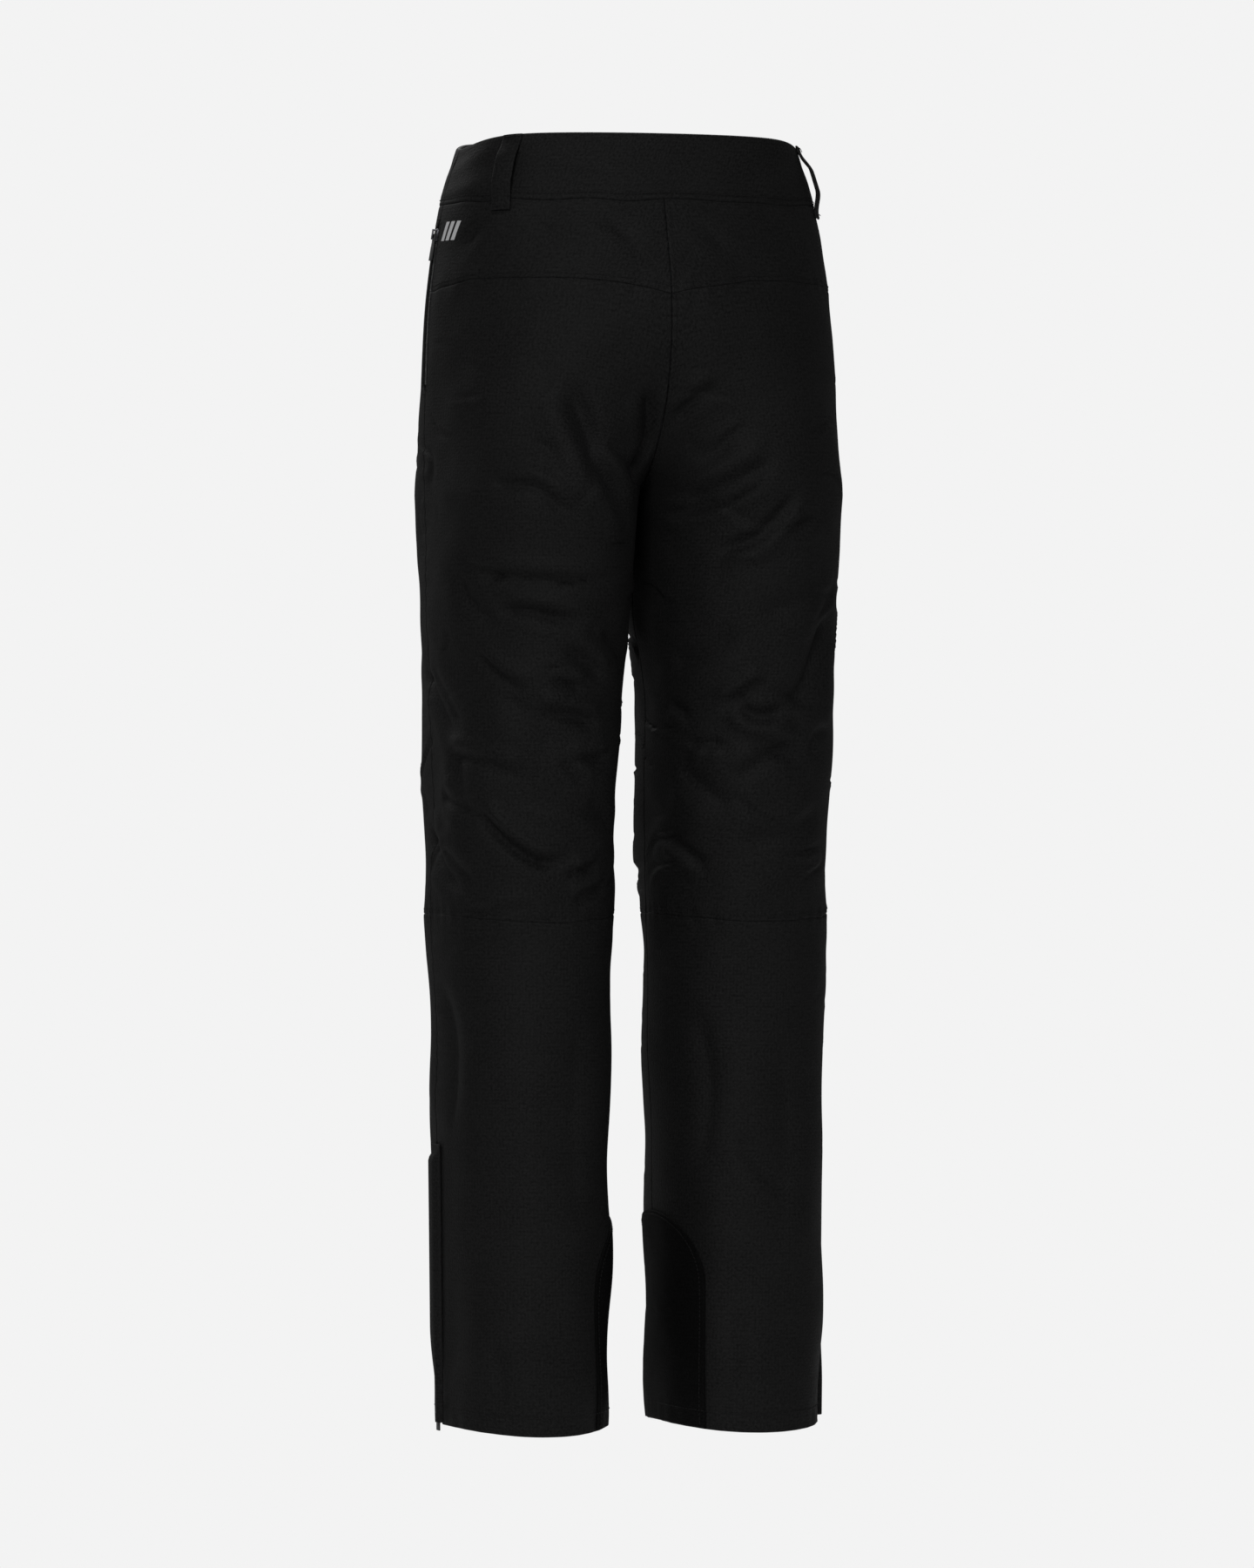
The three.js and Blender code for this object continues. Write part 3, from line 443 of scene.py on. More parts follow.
class Drape:
    """Height of the hanging cloth over the plain garment surface: folds, swells and puckers."""

    REACH = 4.0
    CREASE = 0.38
    CREASED = 0.28
    ROLL_AT = 1.9
    STARTS, FADES = 0.22, 0.70
    DEEPEN = 1.45
    NARROW = 0.88
    SEAM_REACH = 9.0
    CREASE_DEPTH = 1.9
    PUCKER = 0.42
    PUCKER_PITCH = 14.0

    def __init__(self, folds: Sequence[Fold]) -> None:
        """Lay each fold's line on the garment, in short steps."""
        self._lines: list[tuple[Fold, Array, Array]] = []
        for fold in folds:
            turn, drop = (np.array(v, float) for v in zip(*fold.line))
            knots = np.arange(len(turn))
            fine = np.linspace(0, len(turn) - 1, 8 * (len(turn) - 1) + 1)
            turn, drop = self._curve(knots, turn, fine), self._curve(knots, drop, fine)
            points = skin(fold.side.value, turn, drop)
            length = np.pad(np.cumsum(np.linalg.norm(np.diff(points, axis=0), axis=-1)), (1, 0))
            self._lines.append((fold, points, length / length[-1]))

    @staticmethod
    def _curve(knots: Array, values: Array, fine: Array) -> Array:
        """A smooth curve through values at the knots."""
        slope = np.gradient(values)
        i = np.clip(fine.astype(int), 0, len(knots) - 2)
        s = fine - i
        rise = s * s * (3 - 2 * s)
        ends = slope[i] * s * (1 - s) ** 2 - slope[i + 1] * s * s * (1 - s)
        return values[i] + (values[i + 1] - values[i]) * rise + ends

    def _fold(self, fold: Fold, line: Array, share: Array, points: Array, out: Array) -> Array:
        """One fold's height at some points."""
        start, step = line[:-1], np.diff(line, axis=0)
        gap = points[:, None, :] - start[None]
        along = np.clip((gap * step).sum(-1) / (step * step).sum(-1), 0.0, 1.0)
        away = gap - along[..., None] * step
        distance = np.linalg.norm(away, axis=-1)
        near = distance.argmin(axis=1)
        row = np.arange(len(points))
        a = share[near] + along[row, near] * np.diff(share)[near]
        beside = np.cross(step[near], out)
        signed = np.sign((beside * away[row, near]).sum(-1)) * distance[row, near]
        signed = signed * fold.side.value / (fold.width * self.NARROW)
        ends = smooth(a, 0.0, self.STARTS) * (1.0 - smooth(a, self.FADES, 1.0))
        if fold.lean == 0.0:
            shape = self._even(signed, fold.roll)
        else:
            shape = self._ledge(signed * fold.lean, fold.roll)
        return self.DEEPEN * fold.depth * ends * shape

    def _even(self, across: Array, roll: float) -> Array:
        """A creased valley between two rolls, across a fold."""
        crease = np.exp(-((across / self.CREASE) ** 2))
        valley = (1.0 - self.CREASED) * np.exp(-across**2) + self.CREASED * crease
        rolls = sum(np.exp(-(((across - at) / 1.2) ** 2)) for at in (self.ROLL_AT, -self.ROLL_AT))
        return 0.5 * roll * rolls - valley

    @staticmethod
    def _ledge(across: Array, roll: float) -> Array:
        """A roll on one side that drops to a valley on the other, across a fold."""
        high = 0.9 * roll * np.exp(-(((across - 0.95) / 1.0) ** 2))
        return high - 0.85 * np.exp(-(((across + 0.8) / 0.85) ** 2))

    def quiet(self, side: Array, turn: Array, drop: Array, points: Array) -> Array:
        """How free the cloth is to fold, from 0 by zips and the waistband to 1."""
        seam = skin(side, np.zeros(drop.shape), drop)
        aside = np.linalg.norm(points - seam, axis=-1) * np.where(turn < 0, -1.0, 1.0)
        waist = smooth(drop, CUT.band + 4.0, CUT.band + 34.0)
        by_pocket = (aside < 26.0) & (aside > -60.0) & (turn < 0.2)
        ramp = smooth(aside, 4.0, 26.0) + (1.0 - smooth(aside, -60.0, -20.0))
        pocket = np.where(by_pocket, np.maximum(ramp, smooth(drop, CUT.pocket_end + 8, 262.0)), 1.0)
        ankle = CUT.outseam - CUT.leg_zip
        low = np.maximum(smooth(np.abs(aside), 15.0, 34.0), 1.0 - smooth(drop, ankle - 50, ankle - 12))
        x = points[..., 0]
        by_fly = (x > -62.0) & (x < 22.0) & (turn < -0.3)
        beside = np.maximum(smooth(x, 8.0, 22.0), 1.0 - smooth(x, -62.0, -44.0))
        fly = np.where(by_fly, np.maximum(beside, smooth(drop, CUT.fly_end + 14, 236.0)), 1.0)
        fork = 1.0 - 0.85 * smooth(np.abs(turn), 0.93, 1.0) * smooth(drop, 150, 230) * (drop < 330)
        return waist * pocket * low * fly * fork

    def relief(self, side: Array, turn: Array, drop: Array, points: Array, out: Array) -> Array:
        """Height of the cloth over the plain surface.

        Args:
            side: sign of the side of each point.
            turn: turn of each point.
            drop: drop of each point.
            points: the points on the plain surface.
            out: outward directions there.

        Returns:
            Heights, negative where the cloth presses in.
        """
        shape = drop.shape
        flat, normal = points.reshape(-1, 3), out.reshape(-1, 3)
        signs = np.broadcast_to(side, shape).ravel()
        total = np.zeros(len(flat))
        for fold, line, share in self._lines:
            reach = self.REACH * fold.width
            low, high = line.min(0) - reach, line.max(0) + reach
            near = np.all((flat > low) & (flat < high), axis=1) & (signs == fold.side.value)
            if near.any():
                total[near] += self._fold(fold, line, share, flat[near], normal[near])
        z = flat[:, 2]
        thigh = smooth(-z, 150.0, 260.0)
        total += (0.7 + 0.9 * thigh) * swell(flat, (120.0, 120.0, 110.0), 3)
        total += 0.35 * swell(flat, (46.0, 46.0, 34.0), 5) * (1.0 - 0.7 * smooth(-z, 640.0, 700.0))
        total += 1.0 * swell(flat, (60.0, 60.0, 420.0), 7) * smooth(-z, 600.0, 760.0)
        total += self._creases(flat, thigh)
        total = total.reshape(shape)
        total += self._puckers(turn, drop, points)
        return total * self.quiet(np.broadcast_to(side, shape), turn, drop, points)

    @staticmethod
    def _creases(points: Array, thigh: Array) -> Array:
        """Fine creases that wander over the thighs, and faintly elsewhere."""
        paths = swell(points, (95.0, 95.0, 58.0), 21)
        strength = np.clip(swell(points, (80.0, 80.0, 80.0), 23), 0.0, 1.2)
        above_knee = 1.0 - smooth(-points[:, 2], CUT.knee - 10.0, CUT.knee + 60.0)
        share = 0.15 + 0.85 * thigh * above_knee
        ledge = np.exp(-((paths / 0.20) ** 2)) - 0.6 * np.exp(-(((paths - 0.34) / 0.24) ** 2))
        return -Drape.CREASE_DEPTH * share * strength * ledge

    def _puckers(self, turn: Array, drop: Array, points: Array) -> Array:
        """Small ripples where the stitching draws the cloth up."""
        z = points[..., 2]
        wave = 2.0 * math.pi / self.PUCKER_PITCH
        drift = 2.4 * swell(points, (90.0, 90.0, 90.0), 11)
        aside = np.linalg.norm(points - skin(np.sign(points[..., 0]), 0 * turn, drop), axis=-1)
        upright = np.exp(-((aside / self.SEAM_REACH) ** 2)) * 0.8
        centre = np.exp(-((points[..., 0] / self.SEAM_REACH) ** 2)) * (drop < CUT.rise) * (turn > 0)
        ripple = np.cos(z * wave + drift) * (upright + centre)
        level = np.exp(-(((drop - knee_seam(turn)) / self.SEAM_REACH) ** 2))
        level = level + 0.8 * np.exp(-(((drop - yoke_seam(turn)) / self.SEAM_REACH) ** 2)) * (turn > 0)
        around = np.arctan2(points[..., 1], np.abs(points[..., 0]) - 90.0 * (drop > CUT.rise)) * 85.0
        ripple += np.cos(around * wave + drift) * level
        hem = np.exp(-(((CUT.outseam - drop - 8.0) / 12.0) ** 2))
        return self.PUCKER * (ripple + 0.8 * hem * np.cos(around * wave * 0.8 + drift))


DRAPE = Drape(FOLDS)


def inner_ease(turn: Array, drop: Array) -> Array:
    """How far the cloth draws in along the inside of the thighs."""
    level = np.exp(-(((drop - CUT.ease_drop) / CUT.ease_reach) ** 2))
    return CUT.ease_depth * level * smooth(np.abs(turn), *CUT.ease_turns)


def rims(side: Array, turn: Array, drop: Array, points: Array) -> Array:
    """Lift of each point: the waist dips at the sides, the hem curves and the seams waver."""
    seam = skin(side, np.zeros(drop.shape), drop)
    aside = np.linalg.norm(points - seam, axis=-1)
    waist = -CUT.rim_arch * np.exp(-((aside / CUT.rim_reach) ** 2)) * (1.0 - smooth(drop, 0.0, CUT.rim_fades))
    hem = CUT.hem_rise * np.cos(math.pi * turn) ** 2 * smooth(drop, CUT.outseam - 70.0, CUT.outseam)
    seams = CUT.seam_wave * np.exp(-(((drop - CUT.band) / CUT.seam_wave_reach) ** 2)) * (turn > 0.0)
    for seam_drop in (yoke_seam(turn), knee_seam(turn)):
        near = np.exp(-(((drop - seam_drop) / CUT.seam_wave_reach) ** 2))
        seams = seams + CUT.cross_seam_wave * near * (turn > 0.0)
    return waist + hem + seams * swell(points, (42.0, 42.0, 80.0), 13)


def place(side: Array, turn: Array, drop: Array, height: Array, follow: Follow) -> tuple[Array, Array]:
    """Points of the hanging garment with their outward directions.

    Args:
        side: sign of the side.
        turn: turns.
        drop: drops.
        height: heights over the shell's outer face.
        follow: how the layer takes part in the folds.

    Returns:
        Points and outward directions, in millimetres.
    """
    side, turn, drop, height = np.broadcast_arrays(
        *(np.asarray(v, float) for v in (side, turn, drop, height))
    )
    points, out = frames(side, turn, drop)
    if follow is not Follow.NONE:
        relief = DRAPE.relief(side, turn, drop, points, out) - inner_ease(turn, drop)
        height = height + (relief if follow is Follow.ALL else np.minimum(relief, 0.0))
    placed = points + out * height[..., None]
    over = CUT.seam_half - side * placed[..., 0]
    placed[..., 0] += np.where((drop < CUT.rise) & (over > 0.0), side * over, 0.0)
    placed[..., 2] += rims(side, turn, drop, points)
    return placed, out


# ---------------------------------------------------------------- cloth pieces
FINE = (0.0, 0.3, 0.75, 1.3, 2.0, 3.0, 4.4)


def stations(length: float, cell: float, fine: bool = True) -> Array:
    """Shares from 0 to 1 along a length, a cell apart and closer by both ends."""
    ends = np.array(FINE if fine else (0.0,))
    inner = length - 2.0 * ends[-1]
    count = max(1, round(inner / cell))
    middle = ends[-1] + inner * np.arange(1, count) / count
    return np.concatenate([ends, middle, (length - ends)[::-1]]) / length


@dataclass
class ClothPiece:
    """A closed piece of cloth between an outer and an inner face.

    Attributes:
        name: the object's name.
        columns: gives side and turn from shares across and drops.
        top: drop of the upper edge at a turn.
        bottom: drop of the lower edge at a turn.
        across: shares of the columns.
        down: shares of the rows.
        thickness: cloth thickness.
        height: height of the outer face, from shares across and down and the drop.
        edges: finish of the first column, last column, top and bottom.
        follow: how it takes part in the folds.
        ring: whether the last column joins the first.
        dip: how deep a sewn edge dips.
    """

    name: str
    columns: Columns
    top: Callable[[Array], Array]
    bottom: Callable[[Array], Array]
    across: Array
    down: Array
    thickness: float = CUT.shell
    height: Callable[[Array, Array, Array], Array] = lambda s, v, d: np.zeros(d.shape)
    edges: tuple[Edge, Edge, Edge, Edge] = (Edge.SEWN,) * 4
    follow: Follow = Follow.ALL
    ring: bool = False
    dip: float = 0.55
    reach: float = 1.5
    flat: tuple[float, float] = field(default=(0.0, 0.0), init=False)
    area: float = field(default=0.0, init=False)

    def build(self) -> bpy.types.Object:
        """Make the mesh, closed and facing out."""
        across = self.across[:-1] if self.ring else self.across
        s, v = np.meshgrid(across, self.down)
        drop = np.full(s.shape, CUT.rise)
        for _ in range(4):
            side, turn = self.columns(s, drop)
            top, bottom = self.top(turn), self.bottom(turn)
            drop = top + v * (bottom - top)
        side, turn = self.columns(s, drop)
        base, _ = place(side, turn, drop, np.zeros(drop.shape), Follow.NONE)
        dip, fold = self._edge_depths(base)
        height = self.height(s, v, drop)
        outer, _ = place(side, turn, drop, height - dip - fold, self.follow)
        inner, _ = place(side, turn, drop, height - self.thickness + fold, self.follow)
        uv = np.stack([self._along(base, 1), drop], axis=-1) * MM
        return self._mesh(outer, inner, uv)

    @staticmethod
    def _along(base: Array, axis: int) -> Array:
        """Distance from the first row or column."""
        steps = np.linalg.norm(np.diff(base, axis=axis), axis=-1)
        pad = ((1, 0), (0, 0)) if axis == 0 else ((0, 0), (1, 0))
        return np.pad(np.cumsum(steps, axis=axis), pad)

    def _edge_depths(self, base: Array) -> tuple[Array, Array]:
        """How far the sewn edges dip and the folded edges round over."""
        x, y = self._along(base, 1), self._along(base, 0)
        self.flat = (float(x[:, -1].max()) * MM, float(y[-1].max()) * MM)
        a = np.cross(base[1:, 1:] - base[:-1, :-1], base[1:, :-1] - base[:-1, 1:])
        self.area = float(np.linalg.norm(a, axis=-1).sum()) / 2.0 * MM * MM
        if self.ring:
            closing = np.linalg.norm(base[:, 0] - base[:, -1], axis=-1)
            self.flat = (self.flat[0] + float(closing.max()) * MM, self.flat[1])
        gaps = (x, x[:, -1:] - x, y, y[-1:] - y)
        dip, fold = np.zeros(x.shape), np.zeros(x.shape)
        half = self.thickness / 2.0
        for number, (edge, gap) in enumerate(zip(self.edges, gaps)):
            if edge is Edge.CUT or (self.ring and number < 2):
                continue
            if edge is Edge.SEWN:
                dip = np.maximum(dip, self.dip * np.clip(1.0 - gap / self.reach, 0.0, 1.0) ** 2)
            else:
                inside = 1.0 - np.clip(gap / half, 0.0, 1.0)
                fold = np.maximum(fold, 0.9 * half * (1.0 - np.sqrt(1.0 - inside * inside)))
        return dip, fold

    def _mesh(self, outer: Array, inner: Array, uv: Array) -> bpy.types.Object:
        """Join the two faces along their edges."""
        rows, count = outer.shape[:2]
        layer = rows * count
        number = np.arange(layer).reshape(rows, count)
        right = np.roll(number, -1, axis=1) if self.ring else number[:, 1:]
        left = number if self.ring else number[:, :-1]
        face = np.stack([left[:-1], left[1:], right[1:], right[:-1]], axis=-1).reshape(-1, 4)
        walls = [(left[0], right[0]), (right[-1], left[-1])]
        if not self.ring:
            walls += [(number[1:, 0], number[:-1, 0]), (number[:-1, -1], number[1:, -1])]
        rim = [np.stack([a, b, b + layer, a + layer], axis=-1) for a, b in walls]
        faces = np.concatenate([face, face[:, ::-1] + layer, *rim])
        points = np.concatenate([outer.reshape(-1, 3), inner.reshape(-1, 3)]) * MM
        corner = points[faces]
        volume = np.einsum("ij,ij->i", corner[:, 0], np.cross(corner[:, 1], corner[:, 2])).sum()
        volume += np.einsum("ij,ij->i", corner[:, 0], np.cross(corner[:, 2], corner[:, 3])).sum()
        if volume < 0.0:
            faces = faces[:, ::-1]
        return mesh_object(self.name, points, faces, np.concatenate([uv.reshape(-1, 2)] * 2))


def mesh_object(name: str, points: Array, faces: Array, uv: Array | None = None) -> bpy.types.Object:
    """Add a smooth mesh in metres, with its own map in metres of cloth."""
    mesh = bpy.data.meshes.new(name)
    mesh.from_pydata(points.tolist(), [], faces.tolist())
    mesh.polygons.foreach_set("use_smooth", np.ones(len(mesh.polygons), bool))
    if uv is not None:
        layer = mesh.uv_layers.new(name="cloth")
        corners = np.empty(len(mesh.loops), np.int32)
        mesh.loops.foreach_get("vertex_index", corners)
        layer.data.foreach_set("uv", uv[corners].astype(np.float32).ravel())
    mesh.update()
    mesh.set_sharp_from_angle(angle=math.radians(52.0))
    obj = bpy.data.objects.new(name, mesh)
    bpy.context.scene.collection.objects.link(obj)
    return obj


# ---------------------------------------------------------------- materials
def linear(code: str) -> tuple[float, float, float, float]:
    """A colour written as an sRGB hex value, in linear light."""
    parts = (int(code[i : i + 2], 16) / 255.0 for i in (1, 3, 5))
    return (*((c / 12.92 if c <= 0.04045 else ((c + 0.055) / 1.055) ** 2.4) for c in parts), 1.0)


def add_node(
    tree: bpy.types.NodeTree, kind: str, settings: dict | None = None, links: dict | None = None
) -> bpy.types.Node:
    """Add a node.

    Args:
        tree: where it goes.
        kind: its type.
        settings: values of its inputs, by name or number, and of its other properties.
        links: what feeds its inputs, by name or number.

    Returns:
        The node.
    """
    node = tree.nodes.new(kind)
    for key, value in (settings or {}).items():
        if isinstance(key, int) or key in node.inputs:
            node.inputs[key].default_value = value
        else:
            setattr(node, key, value)
    for key, source in (links or {}).items():
        tree.links.new(source, node.inputs[key])
    return node


def new_material(name: str) -> tuple[bpy.types.Material, bpy.types.NodeTree]:
    """An empty node material."""
    material = bpy.data.materials.new(name)
    material.use_nodes = True
    material.node_tree.nodes.clear()
    return material, material.node_tree


@dataclass(frozen=True)
class WovenCloth:
    """Cloth seen as threads: crossing ribs, a fine grain of lighter threads and soft patches."""

    name: str
    dark: str
    light: str
    roughness: float
    specular: float
    sheen: float
    thread: float  # millimetres between threads, drawn coarser than real so that it shows
    grain: float
    relief: float

    def material(self) -> bpy.types.Material:
        """The cloth's material."""
        made, tree = new_material(self.name)
        chart = add_node(tree, "ShaderNodeUVMap", {"uv_map": "cloth"}).outputs["UV"]
        ribs = []
        for direction in ("X", "Y"):
            wave = add_node(tree, "ShaderNodeTexWave", {
                "wave_type": "BANDS", "bands_direction": direction, "Distortion": 1.2,
                "Scale": 1000.0 / self.thread / 20.0 * math.pi, "Detail": 1.0, "Detail Scale": 1.5,
            }, {"Vector": chart})
            ribs.append(wave.outputs["Fac"])
        weave = add_node(tree, "ShaderNodeMath", {"operation": "MULTIPLY"}, {0: ribs[0], 1: ribs[1]})
        grain = add_node(tree, "ShaderNodeTexNoise", {
            "Scale": 1000.0 / self.grain, "Detail": 3.0, "Roughness": 0.7,
        }, {"Vector": chart})
        patch = add_node(tree, "ShaderNodeTexNoise", {"Scale": 22.0, "Detail": 2.0}, {"Vector": chart})
        threads = add_node(tree, "ShaderNodeMath", {
            "operation": "MULTIPLY_ADD", 1: 0.35, 2: 0.0,
        }, {0: weave.outputs[0]})
        tone = add_node(tree, "ShaderNodeMath", {"operation": "MULTIPLY_ADD", 1: 3.4, 2: -1.45}, {
            0: grain.outputs["Fac"],
        })
        mixed = add_node(tree, "ShaderNodeMath", {"operation": "ADD"}, {
            0: threads.outputs[0], 1: tone.outputs[0],
        })
        soft = add_node(tree, "ShaderNodeMath", {"operation": "MULTIPLY_ADD", 1: 0.5, "use_clamp": True}, {
            0: patch.outputs["Fac"], 2: mixed.outputs[0],
        })
        colour = add_node(tree, "ShaderNodeMix", {
            "data_type": "RGBA", 6: linear(self.dark), 7: linear(self.light),
        }, {0: soft.outputs[0]})
        bump = add_node(tree, "ShaderNodeBump", {"Strength": 0.5, "Distance": self.relief * MM}, {
            "Height": mixed.outputs[0],
        })
        shader = add_node(tree, "ShaderNodeBsdfPrincipled", {
            "Roughness": self.roughness, "Specular IOR Level": self.specular,
            "Sheen Weight": self.sheen, "Sheen Roughness": 0.45,
        }, {"Base Color": colour.outputs[2], "Normal": bump.outputs["Normal"]})
        add_node(tree, "ShaderNodeOutputMaterial", None, {"Surface": shader.outputs[0]})
        return made


@dataclass(frozen=True)
class MouldedOrPlated:
    """Plated metal, nylon, thread or rubber: one colour, with a fine grain in gloss and height."""

    name: str
    dark: str
    light: str
    roughness: float
    metallic: float
    specular: float
    grain: float
    relief: float

    def material(self) -> bpy.types.Material:
        """The finish's material."""
        made, tree = new_material(self.name)
        place_of = add_node(tree, "ShaderNodeTexCoord").outputs["Object"]
        grain = add_node(tree, "ShaderNodeTexNoise", {
            "Scale": 1000.0 / self.grain, "Detail": 4.0, "Roughness": 0.65,
        }, {"Vector": place_of})
        colour = add_node(tree, "ShaderNodeMix", {
            "data_type": "RGBA", 6: linear(self.dark), 7: linear(self.light),
        }, {0: grain.outputs["Fac"]})
        gloss = add_node(tree, "ShaderNodeMath", {
            "operation": "MULTIPLY_ADD", 1: 0.22, 2: self.roughness - 0.11, "use_clamp": True,
        }, {0: grain.outputs["Fac"]})
        bump = add_node(tree, "ShaderNodeBump", {"Strength": 0.35, "Distance": self.relief * MM}, {
            "Height": grain.outputs["Fac"],
        })
        shader = add_node(tree, "ShaderNodeBsdfPrincipled", {
            "Metallic": self.metallic, "Specular IOR Level": self.specular,
        }, {
            "Base Color": colour.outputs[2], "Roughness": gloss.outputs[0],
            "Normal": bump.outputs["Normal"],
        })
        add_node(tree, "ShaderNodeOutputMaterial", None, {"Surface": shader.outputs[0]})
        return made


class Finishes:
    """Every material of the garment, made once."""

    def __init__(self) -> None:
        """Make the materials."""
        # Polyester woven matt and piece dyed: nearly black, a dull grain, brighter at grazing angles.
        self.shell = WovenCloth(
            "polyester_woven_matt", "#060606", "#131313", 0.62, 0.05, 0.004, 1.4, 2.2, 0.45,
        ).material()
        # The same cloth on the scuff guard, a little smoother; its darker colour is painted shade for the
        # shaded inside of the ankle.
        self.guard = WovenCloth(
            "polyester_woven_coated", "#030303", "#0A0A0A", 0.60, 0.02, 0.001, 1.6, 1.8, 0.35,
        ).material()
        # Taffeta woven fine and calendered: smooth, with a soft shine.
        self.lining = WovenCloth(
            "taffeta_woven_calendered", "#0E0E10", "#1C1C20", 0.42, 0.14, 0.01, 1.0, 2.4, 0.10,
        ).material()
        # Tape woven of nylon: ribbed and dull.
        self.tape = WovenCloth(
            "nylon_tape_woven", "#070708", "#121213", 0.70, 0.06, 0.006, 1.1, 1.3, 0.30,
        ).material()
        # Satin label, woven white-grey and left blank.
        self.label = WovenCloth(
            "satin_label_woven", "#6E6E70", "#8C8C8E", 0.45, 0.30, 0.05, 0.8, 1.0, 0.08,
        ).material()
        # Polyester thread, twisted: a dull black that stands out by its roundness.
        self.thread = MouldedOrPlated(
            "polyester_thread_twisted", "#070707", "#0D0D0D", 0.65, 0.0, 0.10, 0.5, 0.05,
        ).material()
        # Nylon coil, extruded: a soft gloss on each turn.
        self.coil = MouldedOrPlated(
            "nylon_coil_extruded", "#0B0B0C", "#171718", 0.42, 0.0, 0.50, 0.8, 0.03,
        ).material()
        # Zinc, die cast and plated in black nickel: dark with sharp reflections.
        self.nickel = MouldedOrPlated(
            "zinc_plated_black_nickel", "#3A3A3E", "#56565B", 0.30, 1.0, 0.5, 0.9, 0.02,
        ).material()
        # Brass, stamped and oxidised black: duller than the zips.
        self.oxide = MouldedOrPlated(
            "brass_stamped_black_oxide", "#232325", "#38383B", 0.40, 1.0, 0.5, 0.6, 0.03,
        ).material()
        # Rubber, moulded matt.
        self.rubber = MouldedOrPlated(
            "rubber_moulded_matt", "#111112", "#1C1C1D", 0.62, 0.0, 0.35, 0.7, 0.05,
        ).material()
        # Silicone ink, printed: a pale flat film over the weave.
        self.ink = MouldedOrPlated(
            "silicone_ink_printed", "#8E8E8F", "#9E9E9F", 0.55, 0.0, 0.30, 1.2, 0.04,
        ).material()


# ---------------------------------------------------------------- rows of stitches and teeth
class RowTree:
    """A Geometry Nodes tree that sets one small rounded shape again and again along a line."""

    NAME = "row_of_shapes"
    SIZES = ("Pitch", "Along", "Across", "High", "Wobble")

    def __init__(self) -> None:
        """Build the tree."""
        tree = bpy.data.node_groups.new(self.NAME, "GeometryNodeTree")
        face = tree.interface
        face.new_socket("Geometry", in_out="INPUT", socket_type="NodeSocketGeometry")
        for name in self.SIZES:
            face.new_socket(name, in_out="INPUT", socket_type="NodeSocketFloat")
        face.new_socket("Seed", in_out="INPUT", socket_type="NodeSocketInt")
        face.new_socket("Material", in_out="INPUT", socket_type="NodeSocketMaterial")
        face.new_socket("Geometry", in_out="OUTPUT", socket_type="NodeSocketGeometry")
        given = add_node(tree, "NodeGroupInput").outputs
        curve = add_node(tree, "GeometryNodeMeshToCurve", None, {"Mesh": given["Geometry"]})
        even = add_node(tree, "GeometryNodeResampleCurve", {"mode": "LENGTH"}, {
            "Curve": curve.outputs["Curve"], "Length": given["Pitch"],
        })
        out = add_node(tree, "GeometryNodeInputNamedAttribute", {"data_type": "FLOAT_VECTOR", "Name": "out"})
        tangent = add_node(tree, "GeometryNodeInputTangent")
        upright = add_node(tree, "FunctionNodeAlignRotationToVector", {"axis": "Z"}, {
            "Vector": out.outputs["Attribute"],
        })
        turned = add_node(tree, "FunctionNodeAlignRotationToVector", {"axis": "X", "pivot_axis": "Z"}, {
            "Rotation": upright.outputs["Rotation"], "Vector": tangent.outputs["Tangent"],
        })
        ball = add_node(tree, "GeometryNodeMeshUVSphere", {"Segments": 6, "Rings": 5, "Radius": 0.5})
        soft = add_node(tree, "GeometryNodeSetShadeSmooth", None, {0: ball.outputs["Mesh"]})
        size = add_node(tree, "ShaderNodeCombineXYZ", None, {
            0: given["Along"], 1: given["Across"], 2: given["High"],
        })
        shake = add_node(tree, "FunctionNodeRandomValue", {"data_type": "FLOAT", 2: 0.85, 3: 1.15}, {
            "Seed": given["Seed"],
        })
        scale = add_node(tree, "ShaderNodeVectorMath", {"operation": "SCALE"}, {
            0: size.outputs[0], "Scale": shake.outputs[1],
        })
        set_out = add_node(tree, "GeometryNodeInstanceOnPoints", None, {
            "Points": even.outputs["Curve"], "Instance": soft.outputs[0],
            "Rotation": turned.outputs["Rotation"], "Scale": scale.outputs[0],
        })
        lean = add_node(tree, "FunctionNodeRandomValue", {"data_type": "FLOAT", 2: -1.0, 3: 1.0}, {
            "Seed": given["Seed"],
        })
        wobble = add_node(tree, "ShaderNodeMath", {"operation": "MULTIPLY"}, {
            0: lean.outputs[1], 1: given["Wobble"],
        })
        about = add_node(tree, "ShaderNodeCombineXYZ", None, {2: wobble.outputs[0]})
        leant = add_node(tree, "GeometryNodeRotateInstances", None, {
            "Instances": set_out.outputs[0], "Rotation": about.outputs[0],
        })
        real = add_node(tree, "GeometryNodeRealizeInstances", None, {0: leant.outputs[0]})
        dressed = add_node(tree, "GeometryNodeSetMaterial", None, {
            "Geometry": real.outputs[0], "Material": given["Material"],
        })
        add_node(tree, "NodeGroupOutput", None, {0: dressed.outputs[0]})
        self.tree = tree
        self.sockets = {i.name: i.identifier for i in face.items_tree if i.in_out == "INPUT"}


@dataclass(frozen=True)
class RowSizes:
    """Sizes of the shapes in a row, in millimetres, with their wobble in radians."""

    pitch: float
    along: float
    across: float
    high: float
    wobble: float = 0.0


